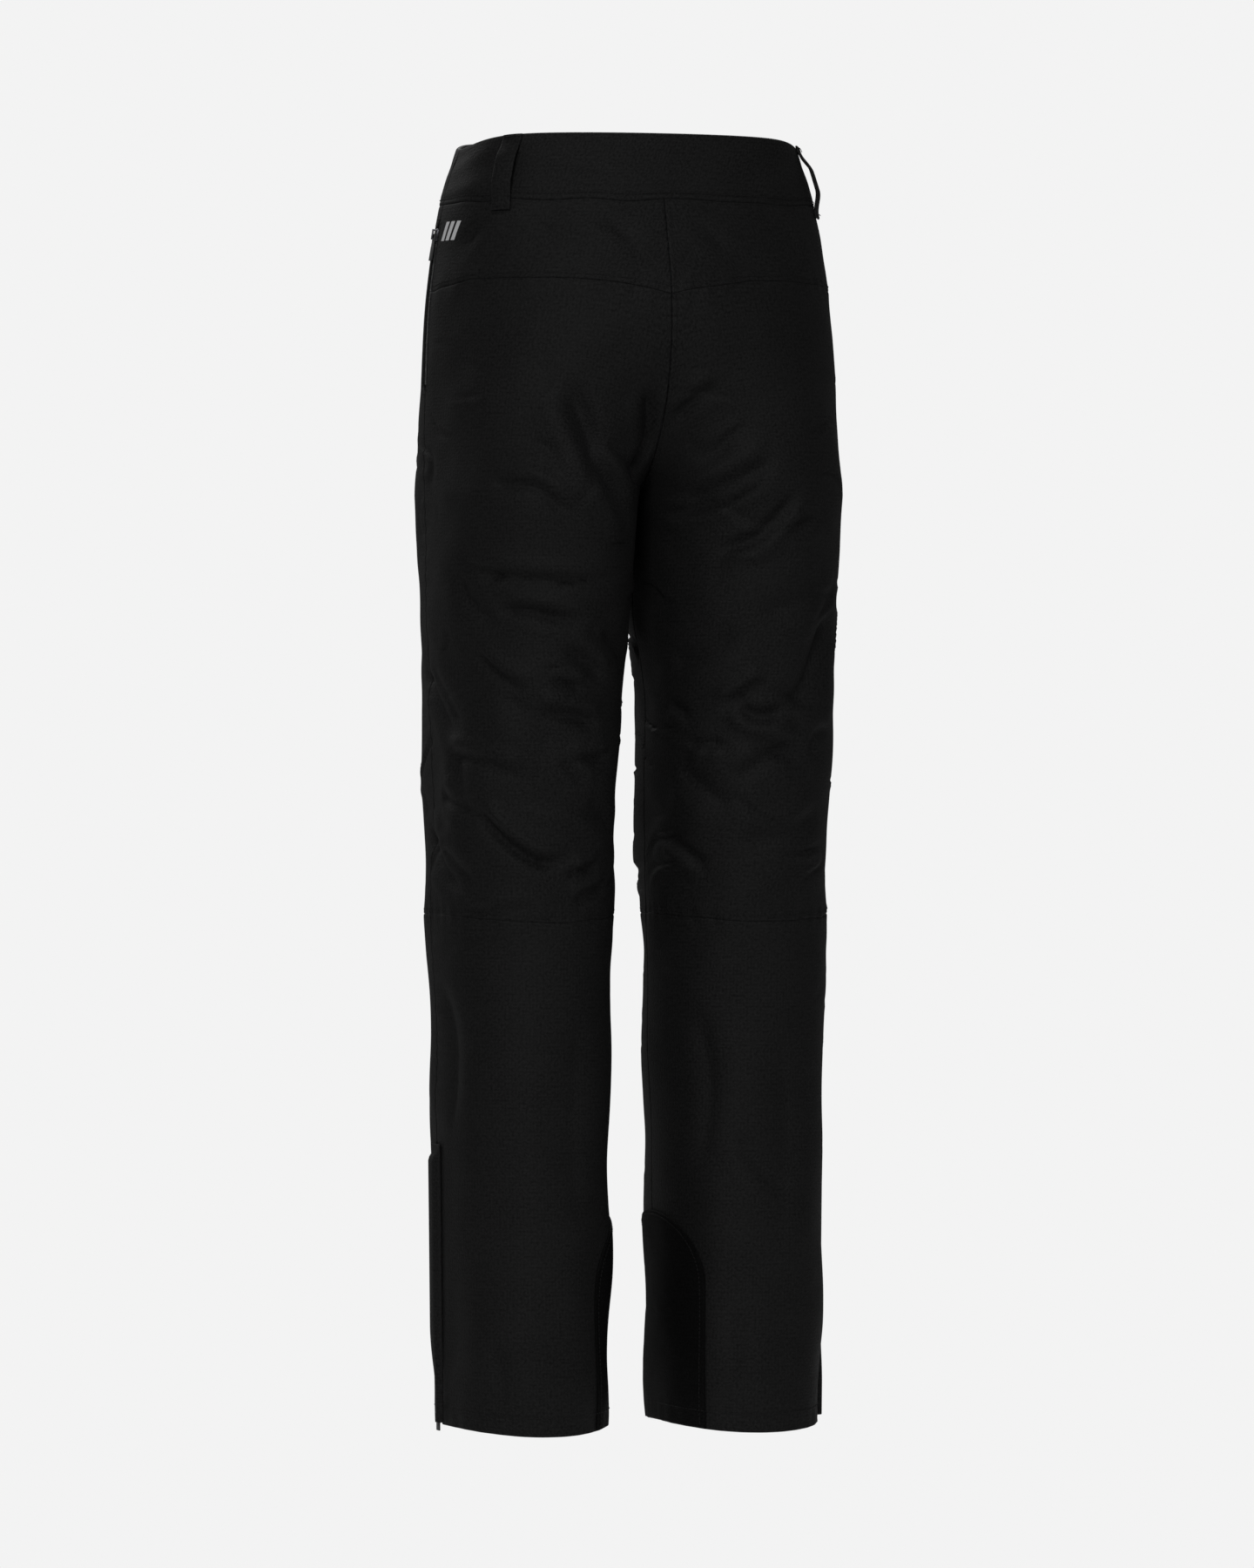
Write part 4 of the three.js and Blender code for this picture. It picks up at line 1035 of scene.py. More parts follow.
TOPSTITCH = RowSizes(3.3, 2.9, 0.75, 0.6, 0.06)
BAR_TACK = RowSizes(0.9, 0.9, 0.8, 0.5, 0.1)
COIL = RowSizes(1.5, 0.95, 3.0, 1.3)


@dataclass
class Line:
    """Points in millimetres with outward directions, in order."""

    points: Array
    out: Array


def seam_line(
    side: Side | Array, turn: Array, drop: Array, height: float, follow: Follow = Follow.ALL,
) -> Line:
    """A line on the hanging garment, a height over the shell's outer face."""
    sign = side.value if isinstance(side, Side) else side
    points, out = place(sign, turn, drop, height, follow)
    return Line(points, out)


class Row:
    """Lines that carry one kind of repeated shape and ride on one body."""

    tree: RowTree | None = None

    def __init__(self, name: str, sizes: RowSizes, material: bpy.types.Material, seed: int) -> None:
        """Name the row and its finish."""
        self.name, self.sizes, self.material, self.seed = name, sizes, material, seed
        self.lines: list[Line] = []

    def add(self, *lines: Line) -> None:
        """Add lines to the row."""
        self.lines += lines

    def build(self) -> bpy.types.Object:
        """Run the tree over the lines and keep the plain mesh that it gives."""
        Row.tree = Row.tree or RowTree()
        points = np.concatenate([line.points for line in self.lines]) * MM
        out = np.concatenate([line.out for line in self.lines])
        edges, first = [], 0
        for line in self.lines:
            edges += [(first + i, first + i + 1) for i in range(len(line.points) - 1)]
            first += len(line.points)
        mesh = bpy.data.meshes.new(self.name)
        mesh.from_pydata(points.tolist(), edges, [])
        mesh.attributes.new("out", "FLOAT_VECTOR", "POINT").data.foreach_set("vector", out.ravel())
        guide = bpy.data.objects.new(self.name + "_guide", mesh)
        bpy.context.scene.collection.objects.link(guide)
        modifier = guide.modifiers.new("row", "NODES")
        modifier.node_group = Row.tree.tree
        given = {
            "Pitch": self.sizes.pitch * MM, "Along": self.sizes.along * MM,
            "Across": self.sizes.across * MM, "High": self.sizes.high * MM,
            "Wobble": self.sizes.wobble, "Seed": self.seed, "Material": self.material,
        }
        for name, value in given.items():
            modifier[Row.tree.sockets[name]] = value
        graph = bpy.context.evaluated_depsgraph_get()
        plain = bpy.data.meshes.new_from_object(guide.evaluated_get(graph))
        bpy.data.objects.remove(guide)
        plain.name = self.name
        obj = bpy.data.objects.new(self.name, plain)
        bpy.context.scene.collection.objects.link(obj)
        return obj


# ---------------------------------------------------------------- putting pieces on bodies
@dataclass(frozen=True)
class Bend:
    """Two bodies and the points between which a piece is meant to bend from the first to the second; the
    script keeps them but bends nothing.
    """

    first: str
    second: str
    start: tuple[float, float, float]
    end: tuple[float, float, float]


def settle(
    obj: bpy.types.Object, material: bpy.types.Material | None,
    on: str | Bend, replaces: Sequence[str] = (),
) -> None:
    """Dress a finished piece and put it on its body; a piece given a bend only has its place fixed into its
    mesh.

    Args:
        obj: the piece.
        material: its finish, or None where its mesh already has one.
        on: the body that it rides on, or a bend, for which the piece rides on no body.
        replaces: the solids that it stands for.
    """
    if material is not None:
        obj.data.materials.clear()
        obj.data.materials.append(material)
    if isinstance(on, Bend):
        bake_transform(obj)
    else:
        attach(obj, on)
    if replaces:
        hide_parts(*replaces)
    log.info("%s: %d faces on %s", obj.name, len(obj.data.polygons), on)


def settle_cloth(
    piece: ClothPiece, material: bpy.types.Material, on: str | Bend,
    replaces: Sequence[str] = (),
) -> bpy.types.Object:
    obj = piece.build()
    settle(obj, material, on, replaces)
    return obj


def hip_bend(side: Side) -> Bend:
    """The bend where a leg leaves the hips, which starts higher at the side than at the crotch."""
    tilt = math.radians(21.8)
    start = Vector((0.0, 0.0, -CUT.rise * MM))
    end = start + Vector((side.value * math.sin(tilt), 0.0, -math.cos(tilt))) * 0.150
    return Bend("hips", f"thigh_{side.word}", tuple(start), tuple(end))


def knee_bend(side: Side) -> Bend:
    """The bend of a knee, which starts at the knee seam."""
    x = 0.0885 * side.value
    top = CUT.knee * MM
    return Bend(f"thigh_{side.word}", f"shin_{side.word}", (x, 0.0, -top), (x, 0.0, -top - 0.140))


def constant(value: float) -> Callable[[Array], Array]:
    """A drop that is the same at every turn."""
    return lambda turn: np.full(np.shape(turn), value)


def slot_width(start: float, end: float, drop: Array) -> Array:
    """Width of a zip's slot at a drop, closing over a short ramp at its ends."""
    inside = np.minimum(drop - (start - CUT.slot_ramp), end + CUT.slot_ramp - drop) / CUT.slot_ramp
    return CUT.zip_slot * np.clip(inside, 0.0, 1.0)


# ---------------------------------------------------------------- sub-assemblies
LOOP_TURNS = {Side.LEFT: {"back": 0.25, "front": -0.5}, Side.RIGHT: {"back": 0.08, "front": -0.5}}


@dataclass
class Waistband:
    """The padded band in one back and two front pieces, its belt loops and its blank label."""

    finishes: Finishes
    plump: float = 0.9
    length: float = 500.0
    stitched: float = 49.0
    waves: float = 0.55
    fold_depth: float = 0.9
    loop_width: float = 16.0
    loop_cloth: float = 2.0
    loop_lift: float = 6.0
    loop_rest: float = 0.6
    loop_length: float = 62.0
    loop_foot: float = 3.0
    loop_ramp: float = 20.0
    label: tuple[float, float] = (32.0, 24.0)

    def _plumpness(self, s: Array, v: Array, drop: Array) -> Array:
        """The band swells a little between its edges and is drawn in by its lower stitching."""
        crease = 0.5 * np.exp(-(((drop - self.stitched) / 1.3) ** 2))
        away = smooth(drop, 4.0, 16.0) * (1.0 - smooth(drop, 40.0, 53.0))
        plane = np.stack([s * self.length, drop, 0.0 * s], axis=-1)
        waves = self.waves * swell(plane, (70.0, 38.0, 50.0), 31) * away
        diagonal = (drop - (26.0 + 0.10 * (s * self.length - 110.0))) / 5.0
        fold = np.exp(-((diagonal - 1.0) ** 2)) - 0.8 * np.exp(-((diagonal + 0.9) ** 2))
        fold = fold * smooth(s, 0.20, 0.30) * (1.0 - smooth(s, 0.42, 0.52)) * away
        crown = self.plump * np.sin(math.pi * np.clip(v, 0.02, 0.98)) ** 0.7
        return crown - crease + waves - self.fold_depth * fold

    def build(self) -> None:
        """Make the band, loops and label."""
        self._band()
        for side in Side:
            for where, turn in LOOP_TURNS[side].items():
                self._loop(side, where, turn)
        self._care_label()

    def _band(self) -> None:
        """The three band pieces, which meet edge to edge at the side seams."""
        half = CUT.seam_half

        def back(s: Array, drop: Array) -> tuple[Array, Array]:
            """Columns of the back piece."""
            side = np.where(s < 0.5, 1.0, -1.0)
            return side, ARC.turn(drop, ARC.total(1, drop) * (1.0 - np.abs(2.0 * s - 1.0)))

        shares = stations(self.length, 4.0)
        common = dict(
            top=constant(0.0), bottom=constant(CUT.band - half), thickness=CUT.band_cloth,
            height=self._plumpness, follow=Follow.NONE, down=stations(CUT.band, 2.2),
        )
        edges = (Edge.SEWN, Edge.SEWN, Edge.FOLDED, Edge.SEWN)
        piece = ClothPiece("waistband_back_cover", back, across=shares, edges=edges, **common)
        obj = piece.build()
        settle(obj, self.finishes.shell, "hips", ["waistband_back"])
        for side in Side:
            def front(s: Array, drop: Array, side: Side = side) -> tuple[Array, Array]:
                """Columns of one front piece."""
                distance = -ARC.total(-1, drop) * (1.0 - s)
                return np.full(s.shape, float(side.value)), ARC.turn(drop, distance)

            name = f"waistband_front_{side.word}"
            piece = ClothPiece(name + "_cover", front, across=stations(240.0, 4.0), edges=edges, **common)
            obj = piece.build()
            settle(obj, self.finishes.shell, "hips", [name])

    def _loop(self, side: Side, where: str, turn: float) -> None:
        """One belt loop, standing off the band between its two sewn feet."""

        def lift(s: Array, v: Array, drop: Array) -> Array:
            """Height of the outer face."""
            along = np.minimum(v, 1.0 - v) * self.loop_length
            rise = smooth(along, self.loop_foot, self.loop_foot + self.loop_ramp)
            crown = 0.35 * np.sin(math.pi * np.clip(s, 0.0, 1.0))
            return self.loop_rest + (self.loop_lift - self.loop_rest) * rise + self.loop_cloth + crown

        def columns(s: Array, drop: Array) -> tuple[Array, Array]:
            """Side and turn from shares across."""
            distance = (s - 0.5) * self.loop_width
            return np.full(s.shape, float(side.value)), turn_by(side.value, turn, drop, distance)

        name = f"belt_loop_{where}_{side.word}"
        piece = ClothPiece(
            name + "_cloth", columns, constant(1.0), constant(1.0 + self.loop_length),
            stations(self.loop_width, 1.6), stations(self.loop_length, 1.6),
            thickness=self.loop_cloth, height=lift, edges=(Edge.FOLDED,) * 4, follow=Follow.NONE,
        )
        settle_cloth(piece, self.finishes.shell, "hips", [name])

    def _care_label(self) -> None:
        """A blank label sewn inside the centre back of the band."""
        width, height = self.label

        def columns(s: Array, drop: Array) -> tuple[Array, Array]:
            """Side and turn from shares across."""
            side = np.where(s < 0.5, 1.0, -1.0)
            total = ARC.total(1, drop)
            return side, ARC.turn(drop, total - np.abs(s - 0.5) * width)

        piece = ClothPiece(
            "care_label", columns, constant(14.0), constant(14.0 + height),
            stations(width, 2.0, fine=False), stations(height, 2.0, fine=False), thickness=0.5,
            height=lambda s, v, d: np.full(d.shape, -CUT.band_cloth - 0.35),
            edges=(Edge.CUT,) * 4, follow=Follow.NONE,
        )
        settle_cloth(piece, self.finishes.label, "hips", ())


@dataclass
class Shell:
    """The outer panels of both legs, from the waistband seam to the hem."""

    finishes: Finishes
    cell_back: float = 2.5
    cell_front: float = 3.4

    def build(self) -> None:
        """Make yokes and the upper and lower panels."""
        for side in Side:
            self._yoke(side)
            self._upper_back(side)
            self._upper_front(side)
            self._lower(side, behind=True)
            self._lower(side, behind=False)

    @staticmethod
    def _behind(side: Side, slot: bool = False) -> Columns:
        """Columns from the side seam, or the edge of the ankle zip, to the centre or inside leg."""
        half = CUT.seam_half

        def columns(s: Array, drop: Array) -> tuple[Array, Array]:
            """Side and turn from shares across."""
            start = half + (slot_width(CUT.outseam - CUT.leg_zip, 2 * CUT.outseam, drop) / 2 if slot else 0.0)
            total = ARC.total(1, drop) - half
            return np.full(s.shape, float(side.value)), ARC.turn(drop, start + (total - start) * s)

        return columns

    def _yoke(self, side: Side) -> None:
        """The back yoke."""
        half = CUT.seam_half
        piece = ClothPiece(
            f"yoke_{side.word}_cloth", self._behind(side), constant(CUT.band + half),
            lambda t: yoke_seam(t) - half, stations(250.0, self.cell_back), stations(66.0, self.cell_back),
        )
        nodes = [f"yoke_{side.word}"]
        settle_cloth(piece, self.finishes.shell, "hips", nodes)

    def _upper_back(self, side: Side) -> None:
        """Seat and back of the thigh, in one panel from the yoke to the knee seam."""
        half = CUT.seam_half
        word = side.word
        piece = ClothPiece(
            f"back_upper_{word}", self._behind(side), lambda t: yoke_seam(t) + half,
            lambda t: knee_seam(t) - half, stations(240.0, self.cell_back), stations(500.0, self.cell_back),
        )
        nodes = [f"seat_{word}", f"groin_{word}", f"thigh_back_{word}", f"knee_{word}"]
        settle_cloth(piece, self.finishes.shell, hip_bend(side), nodes)

    def _upper_front(self, side: Side) -> None:
        """Front of the hip and thigh, with the slots for the hand pocket and the fly."""
        half = CUT.seam_half
        word = side.word

        def columns(s: Array, drop: Array) -> tuple[Array, Array]:
            """Side and turn from shares across."""
            total = ARC.total(-1, drop) - half
            fly = slot_width(CUT.fly_top, CUT.fly_end, drop) if side is Side.RIGHT else 0.0
            pocket = slot_width(CUT.pocket_top, CUT.pocket_end, drop)
            distance = -(half + pocket) - (total - fly - half - pocket) * (1.0 - s)
            return np.full(s.shape, float(side.value)), ARC.turn(drop, distance)

        piece = ClothPiece(
            f"front_upper_{word}", columns, constant(CUT.band + half), lambda t: knee_seam(t) - half,
            stations(240.0, self.cell_front), stations(565.0, 2.8),
        )
        nodes = [f"hip_front_{word}", f"groin_{word}", f"thigh_front_{word}", f"knee_{word}"]
        settle_cloth(piece, self.finishes.shell, hip_bend(side), nodes)

    def _lower(self, side: Side, behind: bool) -> None:
        """Back or front of the lower leg, from the knee seam to the hem."""
        half = CUT.seam_half
        word = side.word
        ankle = CUT.outseam - CUT.leg_zip

        def before(s: Array, drop: Array) -> tuple[Array, Array]:
            """Columns from the centre front to the front edge of the ankle zip."""
            start = half + slot_width(ankle, 2 * CUT.outseam, drop) / 2
            total = ARC.total(-1, drop) - half
            return np.full(s.shape, float(side.value)), ARC.turn(drop, -start - (total - start) * (1.0 - s))

        face = "back" if behind else "front"
        piece = ClothPiece(
            f"{face}_lower_{word}", self._behind(side, slot=True) if behind else before,
            lambda t: knee_seam(t) + half, constant(CUT.outseam),
            stations(180.0, self.cell_back if behind else self.cell_front), stations(410.0, 2.8),
            edges=(Edge.SEWN, Edge.SEWN, Edge.SEWN, Edge.FOLDED),
        )
        nodes = [f"shin_{face}_{word}", f"knee_{word}"]
        settle_cloth(piece, self.finishes.shell, knee_bend(side), nodes)


@dataclass
class InnerLayers:
    """Linings, pocket bags, snow gaiters and scuff guards."""

    finishes: Finishes
    cell: float = 6.5
    hem_gap: float = 12.0
    gaiter_top: float = 850.0
    gaiter_end: float = 18.0
    gaiter_taper: float = 13.0
    gaiter_cloth: float = 1.4
    elastic: float = 1.8
    bag_turn: float = -0.42
    guard_height: float = 174.0
    guard_side: float = 116.0
    guard_turn: float = 0.285
    guard_cloth: float = 1.2
    guard_lift: float = 0.3
    tape_width: float = 16.0
    tape_cloth: float = 0.4
    tape_gap: float = 0.15

    def build(self) -> None:
        """Make the inner layers of both legs."""
        for side in Side:
            self._linings(side)
            self._bag(side)
            self._gaiter(side)
            self._guard(side)
        self._seam_tape("front", -1, CUT.fly_end + 9.0)
        self._seam_tape("back", 1, CUT.band + 1.5)

    def _seam_tape(self, where: str, facing: int, start: float) -> None:
        """Waterproof tape on the inside of a centre seam, from a drop down to the crotch."""

        def columns(s: Array, drop: Array) -> tuple[Array, Array]:
            """Side and turn from shares across."""
            side = np.where(s < 0.5, 1.0, -1.0)
            distance = facing * (ARC.total(facing, drop) - self.tape_width * np.abs(s - 0.5))
            return side, ARC.turn(drop, distance)

        piece = ClothPiece(
            f"centre_seam_tape_{where}", columns, constant(start), constant(CUT.rise - 2.0),
            np.linspace(0.0, 1.0, 9), stations(CUT.rise - start, 3.0, fine=False), thickness=self.tape_cloth,
            height=lambda s, v, d: np.full(d.shape, -CUT.shell - self.tape_gap), edges=(Edge.CUT,) * 4,
        )
        settle_cloth(piece, self.finishes.lining, "hips", ())

    @staticmethod
    def _round(side: Side) -> Columns:
        """Columns right round a leg, from the centre front to the centre back."""

        def columns(s: Array, drop: Array) -> tuple[Array, Array]:
            """Side and turn from shares across."""
            front, back = ARC.total(-1, drop), ARC.total(1, drop)
            distance = -front + (front + back) * s
            return np.full(s.shape, float(side.value)), ARC.turn(drop, distance)

        return columns

    def _linings(self, side: Side) -> None:
        """Lining of the hip and thigh, and of the lower leg."""
        word = side.word
        depth = lambda s, v, d: np.full(d.shape, -CUT.lining_depth)
        half = CUT.seam_half
        common = dict(thickness=CUT.lining, height=depth, follow=Follow.INWARD, dip=0.8)
        upper = ClothPiece(
            f"lining_upper_{word}", self._round(side), constant(CUT.band + half), constant(CUT.knee - half),
            stations(470.0, self.cell, fine=False), stations(565.0, self.cell, fine=False), **common,
        )
        nodes = [f"lining_hips_{word}", f"lining_leg_{word}"]
        settle_cloth(upper, self.finishes.lining, hip_bend(side), nodes)
        lower = ClothPiece(
            f"lining_lower_{word}", self._round(side), constant(CUT.knee + half),
            constant(CUT.outseam - self.hem_gap), stations(400.0, self.cell, fine=False),
            stations(400.0, self.cell, fine=False), ring=True,
            edges=(Edge.CUT, Edge.CUT, Edge.SEWN, Edge.FOLDED), **common,
        )
        nodes = [f"lining_leg_{word}"]
        settle_cloth(lower, self.finishes.lining, knee_bend(side), nodes)

    def _bag(self, side: Side) -> None:
        """The bag of the hand pocket, flat between shell and lining."""

        def columns(s: Array, drop: Array) -> tuple[Array, Array]:
            """Side and turn from shares across."""
            near = turn_by(side.value, 0.0, drop, -CUT.zip_slot - 3.0)
            return np.full(s.shape, float(side.value)), self.bag_turn + (near - self.bag_turn) * s

        piece = ClothPiece(
            f"pocket_bag_{side.word}_cloth", columns, constant(CUT.pocket_top),
            constant(CUT.pocket_end + 14.0), stations(90.0, 4.0, fine=False),
            stations(140.0, 4.0, fine=False), thickness=1.2,
            height=lambda s, v, d: np.full(d.shape, -4.1), edges=(Edge.FOLDED,) * 4, follow=Follow.INWARD,
        )
        nodes = [f"pocket_bag_{side.word}"]
        settle_cloth(piece, self.finishes.lining, "hips", nodes)

    def _gaiter(self, side: Side) -> None:
        """The snow gaiter, gathered on to an elastic cuff."""
        clear = CUT.lining_depth + 2.5 + 1.5
        length = CUT.outseam - self.gaiter_end - self.gaiter_top

        def inset(s: Array, v: Array, drop: Array) -> Array:
            """Height of the gathered cloth."""
            cuff = smooth(v, 0.86, 0.93)
            gather = 0.9 * smooth(v, 0.35, 0.85) * (1.0 - cuff) + 0.45 * cuff
            angle = 2.0 * math.pi * s
            ripple = gather * (np.cos(44.0 * angle) * 0.6 + np.cos(27.0 * angle + 1.3) * 0.4)
            return -clear - 1.0 - self.gaiter_taper * v + ripple + 0.9 * cuff

        piece = ClothPiece(
            f"gaiter_{side.word}_cloth", self._round(side), constant(self.gaiter_top),
            constant(self.gaiter_top + length), stations(400.0, 2.2, fine=False),
            stations(length, 4.0), thickness=self.gaiter_cloth, height=inset, ring=True,
            edges=(Edge.CUT, Edge.CUT, Edge.SEWN, Edge.FOLDED), follow=Follow.NONE,
        )
        nodes = [f"gaiter_{side.word}"]
        body = f"shin_{side.word}"
        settle_cloth(piece, self.finishes.lining, body, nodes)

    def guard_edge(self, turn: Array) -> Array:
        """Drop of the scuff guard's upper edge, a half ellipse over the inside leg seam."""
        share = np.minimum(1.0, np.abs(turn - 1.0) / self.guard_turn)
        rise = (self.guard_height - self.guard_side) * np.sqrt(1.0 - share * share)
        return CUT.outseam - self.guard_side - rise

    def _guard(self, side: Side) -> None:
        """The scuff guard, a second layer sewn over the inside of the ankle."""

        def columns(s: Array, drop: Array) -> tuple[Array, Array]:
            """Side and turn from shares across."""
            ease = 0.5 - 0.5 * np.cos(math.pi * s)
            mixed = 0.5 * s + 0.5 * ease
            turn = 1.0 + self.guard_turn * (2.0 * mixed - 1.0)
            return np.full(s.shape, float(side.value)), turn

        piece = ClothPiece(
            f"scuff_guard_{side.word}_cloth", columns, self.guard_edge, constant(CUT.outseam - 1.0),
            stations(110.0, 2.5), stations(160.0, 2.8), thickness=self.guard_cloth,
            height=lambda s, v, d: np.full(d.shape, self.guard_lift + self.guard_cloth),
            edges=(Edge.FOLDED,) * 4,
        )
        nodes = [f"scuff_guard_{side.word}"]
        body = f"shin_{side.word}"
        # The guard's finish is darker than the shell's: painted shade for the inside of the ankle.
        settle_cloth(piece, self.finishes.guard, body, nodes)


@dataclass
class Zips:
    """Tapes, coils, sliders and pulls of the hand pockets, ankles and fly, with their flaps."""

    finishes: Finishes
    tape: float = 9.2
    tape_cloth: float = 1.0
    row_gap: float = 1.35
    keep: float = 5.3
    gusset: float = 44.0
    flap_cloth: float = 1.4
    flap_overlap: float = 3.0
    flap_root: float = 6.0
    flap_gap: float = 1.5
    flap_rest: float = 0.8
    over_zip: float = 4.2
    fly_width: float = 36.0
    fly_under: float = 6.0
    fly_cloth: float = 2.0
    fly_round: float = 42.0

    def build(self) -> None:
        """Make the zips and flaps."""
        for side in Side:
            word = side.word
            pocket = lambda x, drop, side=side: (
                np.full(np.shape(drop), float(side.value)),
                turn_by(side.value, 0.0, drop, x - CUT.seam_gap / 2 - CUT.zip_slot / 2),
            )
            self._chain(f"pocket_{word}", pocket, 83.3, CUT.pocket_end, "hips")
            ankle = lambda x, drop, side=side: (
                np.full(np.shape(drop), float(side.value)), turn_by(side.value, 0.0, drop, x),
            )
            top = CUT.outseam - CUT.leg_zip
            self._chain(f"leg_zip_{word}", ankle, top, CUT.outseam - 24.3, f"shin_{word}")
            self._gusset(side, ankle, top)
            self._ankle_flap(side, top)
            metal, rubber = self.finishes.nickel, self.finishes.rubber
            for kind in ("pocket", "leg_zip"):
                self._hardware(f"{kind}_{word}_slider", f"{kind}_slider_{word}", metal)
                self._hardware(f"{kind}_{word}_pull", f"{kind}_pull_{word}", rubber)
        self._chain("fly", lambda x, drop: front_at(-CUT.zip_slot / 2 - x, drop), 75.3, CUT.fly_end, "hips")
        self._hardware("fly_slider", "fly_slider", self.finishes.nickel)
        self._hardware("fly_pull", "fly_pull", self.finishes.rubber)
        self._fly_flap()

    def _chain(self, name: str, at: Columns, top: float, bottom: float, body: str) -> None:
        """One zip's tape and the two rows of its coil."""
        columns = lambda s, drop: at((s - 0.5) * self.tape, drop)
        depth = lambda s, v, d: np.full(d.shape, -CUT.zip_sink - 0.2)
        piece = ClothPiece(
            f"{name}_tape", columns, constant(top), constant(bottom), stations(self.tape, 1.4, fine=False),
            stations(bottom - top, 3.0, fine=False), thickness=self.tape_cloth, height=depth,
            edges=(Edge.CUT,) * 4, follow=Follow.ALL,
        )
        settle_cloth(piece, self.finishes.tape, body, [f"{name}_chain"])
        row = Row(f"{name}_coil", COIL, self.finishes.coil, 5)
        drop = np.arange(top + 1.0, bottom - 1.0, 2.0)
        for offset, shift in ((-self.row_gap, 0.0), (self.row_gap, COIL.pitch / 2)):
            side, turn = at(np.full(drop.shape, offset), drop + shift)
            row.add(seam_line(side, turn, drop + shift, 0.35 - CUT.zip_sink))
        settle(row.build(), None, body)

    def _gusset(self, side: Side, at: Columns, top: float) -> None:
        """The gusset behind an ankle zip."""
        columns = lambda s, drop: at((s - 0.5) * self.gusset, drop)
        piece = ClothPiece(
            f"leg_zip_gusset_{side.word}_cloth", columns, constant(top), constant(CUT.outseam - 6.0),
            stations(self.gusset, 4.0, fine=False), stations(219.0, 5.0, fine=False), thickness=0.8,
            height=lambda s, v, d: np.full(d.shape, -5.1), edges=(Edge.CUT,) * 4, follow=Follow.INWARD,
        )
        body = f"shin_{side.word}"
        nodes = [f"leg_zip_gusset_{side.word}"]
        settle_cloth(piece, self.finishes.lining, body, nodes)

    def _ankle_flap(self, side: Side, top: float) -> None:
        """The storm flap, sewn behind the zip, that tapers away above the slider."""
        word = side.word
        root = CUT.zip_slot / 2 + self.flap_gap + self.flap_root

        def columns(s: Array, drop: Array) -> tuple[Array, Array]:
            """Side and turn from shares across."""
            taper = smooth(drop, top + 140.0, CUT.outseam - 29.0)
            free = -CUT.zip_slot / 2 - self.flap_overlap
            free = free + (CUT.zip_slot / 2 + self.flap_gap - free) * taper
            distance = free + (root - free) * s
            return np.full(s.shape, float(side.value)), turn_by(side.value, 0.0, drop, distance)

        def lift(s: Array, v: Array, drop: Array) -> Array:
            """Height of the outer face."""
            low = np.maximum(smooth(s, 0.5, 1.0), 1.0 - smooth(drop, top + 1.0, top + 9.0))
            return self.over_zip + (self.flap_rest - self.over_zip) * low + self.flap_cloth

        piece = ClothPiece(
            f"leg_zip_flap_{word}_cloth", columns, constant(top - 4.0), constant(CUT.outseam - 2.0),
            stations(20.5, 1.6), stations(227.0, 3.0), thickness=self.flap_cloth, height=lift,
            edges=(Edge.FOLDED,) * 4, follow=Follow.NONE,
        )
        place_at = [place(side.value, turn_by(side.value, 0.0, 915.0, d), 915.0, 0.0, Follow.NONE)[0] * MM
                    for d in (root + 1.0, root - 5.0)]
        bend = Bend(f"shin_{word}", f"leg_flap_{word}", tuple(place_at[0]), tuple(place_at[1]))
        nodes = [f"leg_zip_flap_{word}"]
        settle_cloth(piece, self.finishes.shell, bend, nodes)

    def _fly_flap(self) -> None:
        """The fly flap over the front zip, rounded at its foot."""
        end = CUT.fly_end + 10.0

        def columns(s: Array, drop: Array) -> tuple[Array, Array]:
            """Side and turn from shares across."""
            past = np.clip((drop - (end - self.fly_round)) / self.fly_round, 0.0, 0.99)
            free = -self.fly_width * np.sqrt(1.0 - past * past)
            return front_at(free + (self.fly_under - free) * s, drop)

        def lift(s: Array, v: Array, drop: Array) -> Array:
            """Height of the outer face."""
            high = self.over_zip + (self.flap_rest - self.over_zip) * smooth(s, 0.84, 1.0)
            return high + self.fly_cloth

        piece = ClothPiece(
            "fly_flap_cloth", columns, constant(CUT.band + 1.0), constant(end), stations(42.0, 2.0),
            stations(123.0, 2.2), thickness=self.fly_cloth, height=lift, edges=(Edge.FOLDED,) * 4,
            follow=Follow.NONE,
        )
        bend = Bend("hips", "fly_flap", (0.0065, -0.1055, -0.125), (0.001, -0.1055, -0.125))
        settle_cloth(piece, self.finishes.shell, bend, ["fly_flap"])

    def _hardware(self, node: str, body: str, material: bpy.types.Material) -> None:
        """A slider or pull with its edges rounded over."""
        settle(rounded_copy(node), material, body, [node])


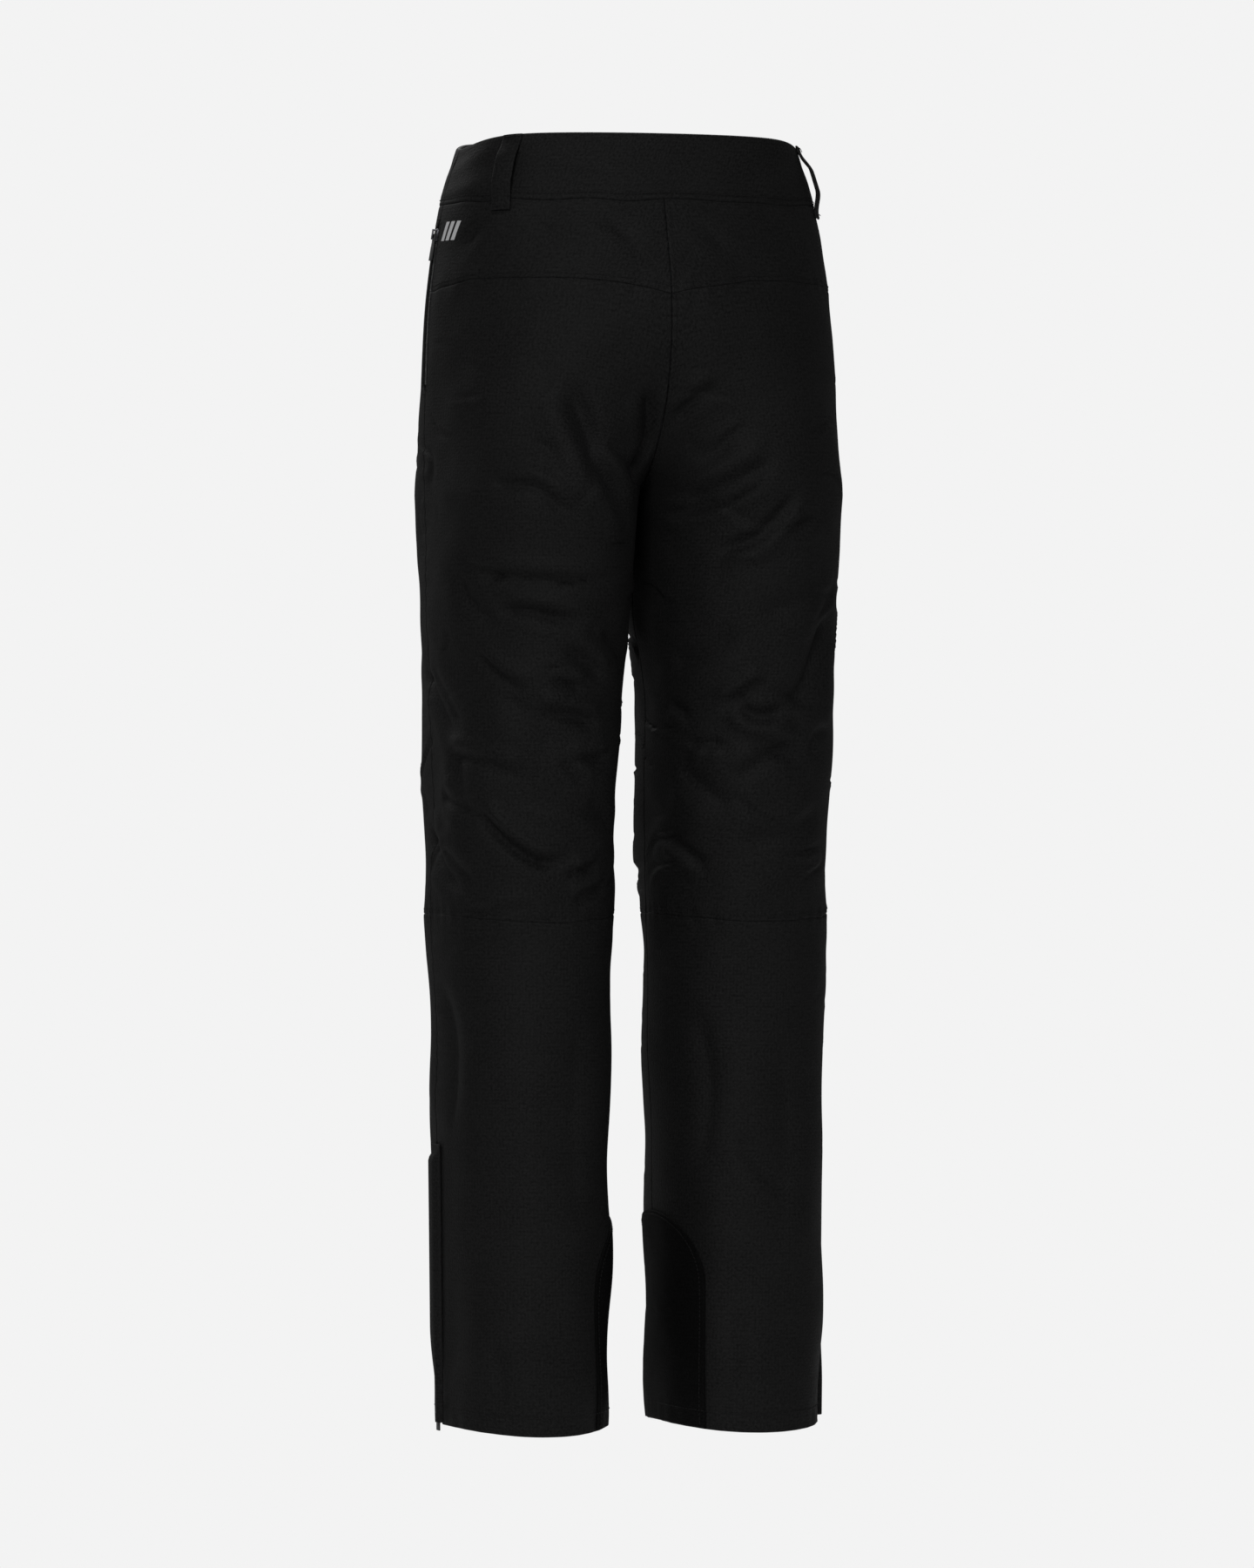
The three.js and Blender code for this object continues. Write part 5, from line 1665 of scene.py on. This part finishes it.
def rounded_copy(node: str, width: float = 0.3) -> bpy.types.Object:
    """A copy of a solid, with its loose triangles joined and its edges rounded over.

    Args:
        node: the solid's name.
        width: how wide its edges are rounded, in millimetres.

    Returns:
        The new piece.
    """
    source = frame["nodes"][node].data
    shape = bmesh.new()
    shape.from_mesh(source)
    bmesh.ops.remove_doubles(shape, verts=shape.verts, dist=1e-5)
    bmesh.ops.dissolve_limit(
        shape, angle_limit=math.radians(4.0), verts=shape.verts, edges=shape.edges
    )
    bmesh.ops.recalc_face_normals(shape, faces=shape.faces)
    mesh = bpy.data.meshes.new(node + "_rounded")
    shape.to_mesh(mesh)
    shape.free()
    obj = bpy.data.objects.new(node + "_rounded", mesh)
    bpy.context.scene.collection.objects.link(obj)
    bevel = obj.modifiers.new("rounding", "BEVEL")
    bevel.width = width * MM
    bevel.segments = 2
    bevel.limit_method = "ANGLE"
    bevel.angle_limit = math.radians(38.0)
    graph = bpy.context.evaluated_depsgraph_get()
    plain = bpy.data.meshes.new_from_object(obj.evaluated_get(graph))
    obj.modifiers.clear()
    obj.data = plain
    plain.polygons.foreach_set("use_smooth", np.ones(len(plain.polygons), bool))
    plain.set_sharp_from_angle(angle=math.radians(40.0))
    return obj


@dataclass
class WaistTab:
    """The waist tab and its two press studs."""

    finishes: Finishes
    root: float = 8.0
    reach: float = 46.0
    lift: float = 1.4
    cloth: float = 2.5
    edge: float = 3.0

    def build(self) -> None:
        """Make the tab and round the studs."""

        def columns(s: Array, drop: Array) -> tuple[Array, Array]:
            """Side and turn from shares across."""
            return front_at(self.root - (self.root + self.reach) * s, drop)

        piece = ClothPiece(
            "waist_tab_cloth", columns, constant(self.edge), constant(CUT.band - self.edge),
            stations(54.0, 2.0), stations(48.0, 2.0), thickness=self.cloth,
            height=lambda s, v, d: np.full(d.shape, self.lift + self.cloth),
            edges=(Edge.FOLDED,) * 4, follow=Follow.NONE,
        )
        bend = Bend("hips", "waist_tab", (0.0085, -0.0964, -0.027), (0.002, -0.0964, -0.027))
        settle_cloth(piece, self.finishes.shell, bend, ["waist_tab"])
        for number in (1, 2):
            cap = rounded_copy(f"stud_cap_{number}", 0.4)
            settle(cap, self.finishes.oxide, "waist_tab", [f"stud_cap_{number}"])
            stud = rounded_copy(f"stud_{number}", 0.2)
            settle(stud, self.finishes.oxide, "hips", [f"stud_{number}"])


@dataclass
class Sewing:
    """Topstitching, bar tacks and the printed mark."""

    finishes: Finishes
    guard: InnerLayers
    height: float = 0.15
    offset: float = 4.0
    step: float = 3.0

    def build(self) -> None:
        """Make every row of stitches, one object for each body."""
        rows = {"hips": Row("stitches_hips", TOPSTITCH, self.finishes.thread, 1)}
        tacks = Row("bar_tacks_hips", BAR_TACK, self.finishes.thread, 2)
        for side in Side:
            self._hips(side, rows["hips"])
            self._tacks(side, tacks)
            name = f"stitches_thigh_{side.word}"
            rows[f"thigh_{side.word}"] = Row(name, TOPSTITCH, self.finishes.thread, 3)
            self._knee(side, rows[f"thigh_{side.word}"])
            rows[f"shin_{side.word}"] = Row(f"stitches_shin_{side.word}", TOPSTITCH, self.finishes.thread, 4)
            self._shin(side, rows[f"shin_{side.word}"])
        for body, row in rows.items():
            settle(row.build(), None, body)
        settle(tacks.build(), None, "hips")
        self._mark()

    def _level(self, side: Side, start: float, end: float, drop: Callable[[Array], Array], height: float,
               follow: Follow = Follow.ALL) -> Line:
        """A line along a seam that runs round the garment, between two turns."""
        share = np.linspace(0.0, 1.0, 140)
        turn = start + (end - start) * share
        turn = np.sign(turn) * np.abs(turn) ** 1.3
        return seam_line(side, turn, drop(turn), height, follow)

    def _hips(self, side: Side, row: Row) -> None:
        """Stitching of the band, yoke, centre back, pocket and fly."""
        band = lambda turn: np.full(turn.shape, CUT.band - 5.0)
        row.add(self._level(side, -1.0, 1.0, band, 0.55, Follow.NONE))
        row.add(self._level(side, 0.01, 1.0, lambda turn: yoke_seam(turn) - self.offset, self.height))
        if side is Side.RIGHT:
            drop = np.arange(CUT.band + 6.0, 262.0, self.step)
            turn = ARC.turn(drop, ARC.total(1, drop) - self.offset)
            row.add(seam_line(side, turn, drop, self.height))
            front = np.arange(CUT.band + 6.0, CUT.fly_end + 4.0, self.step)
            sign, turn = front_at(np.full(front.shape, 4.5), front)
            row.add(seam_line(sign, turn, front, 3.4, Follow.NONE))
        for distance in (4.0, -CUT.zip_slot - 3.0):
            drop = np.arange(CUT.pocket_top - 2.0, CUT.pocket_end + 6.0, self.step)
            row.add(seam_line(side, turn_by(side.value, 0.0, drop, distance), drop, self.height))

    def _tacks(self, side: Side, row: Row) -> None:
        """Dense stitches across the feet of the belt loops and the ends of the pockets."""
        for middle in LOOP_TURNS[side].values():
            for drop_at in (3.4, 60.4):
                distance = np.linspace(-6.6, 6.6, 12)
                drop = np.full(distance.shape, drop_at)
                turn = turn_by(side.value, middle, drop, distance)
                row.add(seam_line(side, turn, drop, 3.7, Follow.NONE))
        for drop_at in (CUT.pocket_top - 6.0, CUT.pocket_end + 7.0):
            distance = np.linspace(-CUT.zip_slot - 3.0, 2.0, 12)
            drop = np.full(distance.shape, drop_at)
            row.add(seam_line(side, turn_by(side.value, 0.0, drop, distance), drop, self.height))

    def _knee(self, side: Side, row: Row) -> None:
        """The row above the knee seam."""
        row.add(self._level(side, -0.99, 0.99, lambda turn: knee_seam(turn) - self.offset, self.height))

    def _shin(self, side: Side, row: Row) -> None:
        """Stitching of the hem, the scuff guard and the ankle zip."""
        hem = lambda turn: np.full(turn.shape, CUT.outseam - 15.0)
        row.add(self._level(side, -0.70, -0.05, hem, self.height))
        row.add(self._level(side, 0.06, 0.70, hem, self.height))
        guard = self.guard
        over = guard.guard_lift + guard.guard_cloth + self.height
        angle = np.linspace(0.0, math.pi, 90)
        turn = 1.0 - (guard.guard_turn - 0.022) * np.cos(angle)
        edge = CUT.outseam - guard.guard_side - (guard.guard_height - guard.guard_side - 3.0) * np.sin(angle)
        legs = np.arange(CUT.outseam - guard.guard_side + self.step, CUT.outseam - 3.0, self.step)
        row.add(seam_line(side, turn, edge, over))
        for at in (turn[0], turn[-1]):
            row.add(seam_line(side, np.full(legs.shape, at), legs, over))
        row.add(self._level(side, 1.0 - guard.guard_turn + 0.03, 1.0, hem, over))
        top = CUT.outseam - CUT.leg_zip
        drop = np.arange(top - 2.0, CUT.outseam - 3.0, self.step)
        row.add(seam_line(side, turn_by(side.value, 0.0, drop, -9.5), drop, self.height))

    def _mark(self) -> None:
        """A small generic mark of slanted bars, printed below the band on the left hip."""
        parts = []
        for number in range(3):
            def columns(s: Array, drop: Array, number: int = number) -> tuple[Array, Array]:
                """Side and turn from shares across."""
                lean = (84.0 - drop) * 0.35
                distance = 12.0 + number * 8.0 + lean + s * 4.8
                return np.full(s.shape, 1.0), turn_by(1.0, 0.0, drop, distance)

            piece = ClothPiece(
                f"printed_mark_{number + 1}", columns, constant(69.0), constant(84.0),
                stations(4.8, 1.2, fine=False), stations(15.0, 1.5, fine=False), thickness=0.25,
                height=lambda s, v, d: np.full(d.shape, 0.2), edges=(Edge.CUT,) * 4,
            )
            parts.append(piece.build())
        for part in parts:
            settle(part, self.finishes.ink, "hips")


# ---------------------------------------------------------------- camera, light and floor
@dataclass
class Studio:
    """A camera behind the wearer's left shoulder, soft lamps and a plain pale floor."""

    azimuth: float = 163.5
    distance: float = 7.0
    aim: float = -0.515
    lens: float = 200.8
    floor: float = -1.42
    backdrop: str = "#F3F3F3"
    ambient: float = 0.14

    def build(self) -> None:
        """Make the camera, world, lamps and floor."""
        # Plain colour management, so that a finish's hex value is what shows under full light.
        bpy.context.scene.view_settings.view_transform = "Standard"
        self._camera()
        self._world()
        lamps = (
            ("key_lamp", (3.2, 6.4, 2.2), 2.0, 330.0),
            ("edge_lamp", (5.6, 0.6, 0.8), 1.2, 16.0),
            ("top_lamp", (0.6, 2.6, 3.6), 2.2, 70.0),
            ("fill_lamp", (-3.4, 6.0, 0.4), 2.4, 70.0),
            ("front_key_lamp", (-1.2, -4.6, 4.4), 2.2, 250.0),
            ("front_fill_lamp", (2.4, -4.8, 3.0), 2.2, 90.0),
        )
        for name, place_of, size, power in lamps:
            self._lamp(name, place_of, size, power)
        self._floor()

    def _camera(self) -> None:
        """The camera, level with the middle of the garment."""
        data = bpy.data.cameras.new("camera")
        data.sensor_fit = "VERTICAL"
        data.sensor_height = 36.0
        data.lens = self.lens
        camera = bpy.data.objects.new("camera", data)
        angle = math.radians(self.azimuth)
        away = Vector((math.sin(angle), -math.cos(angle), 0.0))
        camera.location = away * self.distance + Vector((0.0, 0.0, self.aim))
        camera.rotation_euler = away.to_track_quat("Z", "Y").to_euler()
        bpy.context.scene.collection.objects.link(camera)
        bpy.context.scene.camera = camera

    def _world(self) -> None:
        """A pale backdrop that lights the garment more weakly than it shows."""
        world = bpy.data.worlds.new("studio")
        world.use_nodes = True
        tree = world.node_tree
        tree.nodes.clear()
        seen = add_node(tree, "ShaderNodeBackground", {"Color": linear(self.backdrop), "Strength": 1.0})
        glow = add_node(tree, "ShaderNodeBackground", {
            "Color": linear(self.backdrop), "Strength": self.ambient,
        })
        path = add_node(tree, "ShaderNodeLightPath")
        mixed = add_node(tree, "ShaderNodeMixShader", None, {
            0: path.outputs["Is Camera Ray"], 1: glow.outputs[0], 2: seen.outputs[0],
        })
        add_node(tree, "ShaderNodeOutputWorld", None, {"Surface": mixed.outputs[0]})
        bpy.context.scene.world = world

    def _lamp(self, name: str, place_of: tuple[float, float, float], size: float, power: float) -> None:
        """A square soft lamp that faces the middle of the garment."""
        data = bpy.data.lights.new(name, "AREA")
        data.size = size
        data.energy = power
        lamp = bpy.data.objects.new(name, data)
        lamp.location = place_of
        toward = Vector(place_of) - Vector((0.0, 0.0, self.aim))
        lamp.rotation_euler = toward.to_track_quat("Z", "Y").to_euler()
        bpy.context.scene.collection.objects.link(lamp)

    def _floor(self) -> None:
        """A plain pale floor, well below the hems."""
        reach, z = 2.2, self.floor
        corners = np.array([(-reach, -reach, z), (reach, -reach, z), (reach, reach, z), (-reach, reach, z)])
        floor = mesh_object("floor", corners, np.array([[0, 1, 2, 3]]))
        made, tree = new_material("floor_painted")
        shader = add_node(tree, "ShaderNodeBsdfPrincipled", {
            "Base Color": linear("#F6F6F6"), "Roughness": 0.9, "Specular IOR Level": 0.1,
        })
        add_node(tree, "ShaderNodeOutputMaterial", None, {"Surface": shader.outputs[0]})
        floor.data.materials.append(made)


def main() -> None:
    """Build every sub-assembly in order."""
    logging.basicConfig(level=logging.INFO, format="%(message)s")
    Studio().build()
    finishes = Finishes()
    Waistband(finishes).build()
    Shell(finishes).build()
    layers = InnerLayers(finishes)
    layers.build()
    Zips(finishes).build()
    WaistTab(finishes).build()
    Sewing(finishes, layers).build()


if __name__ == "__main__":
    main()
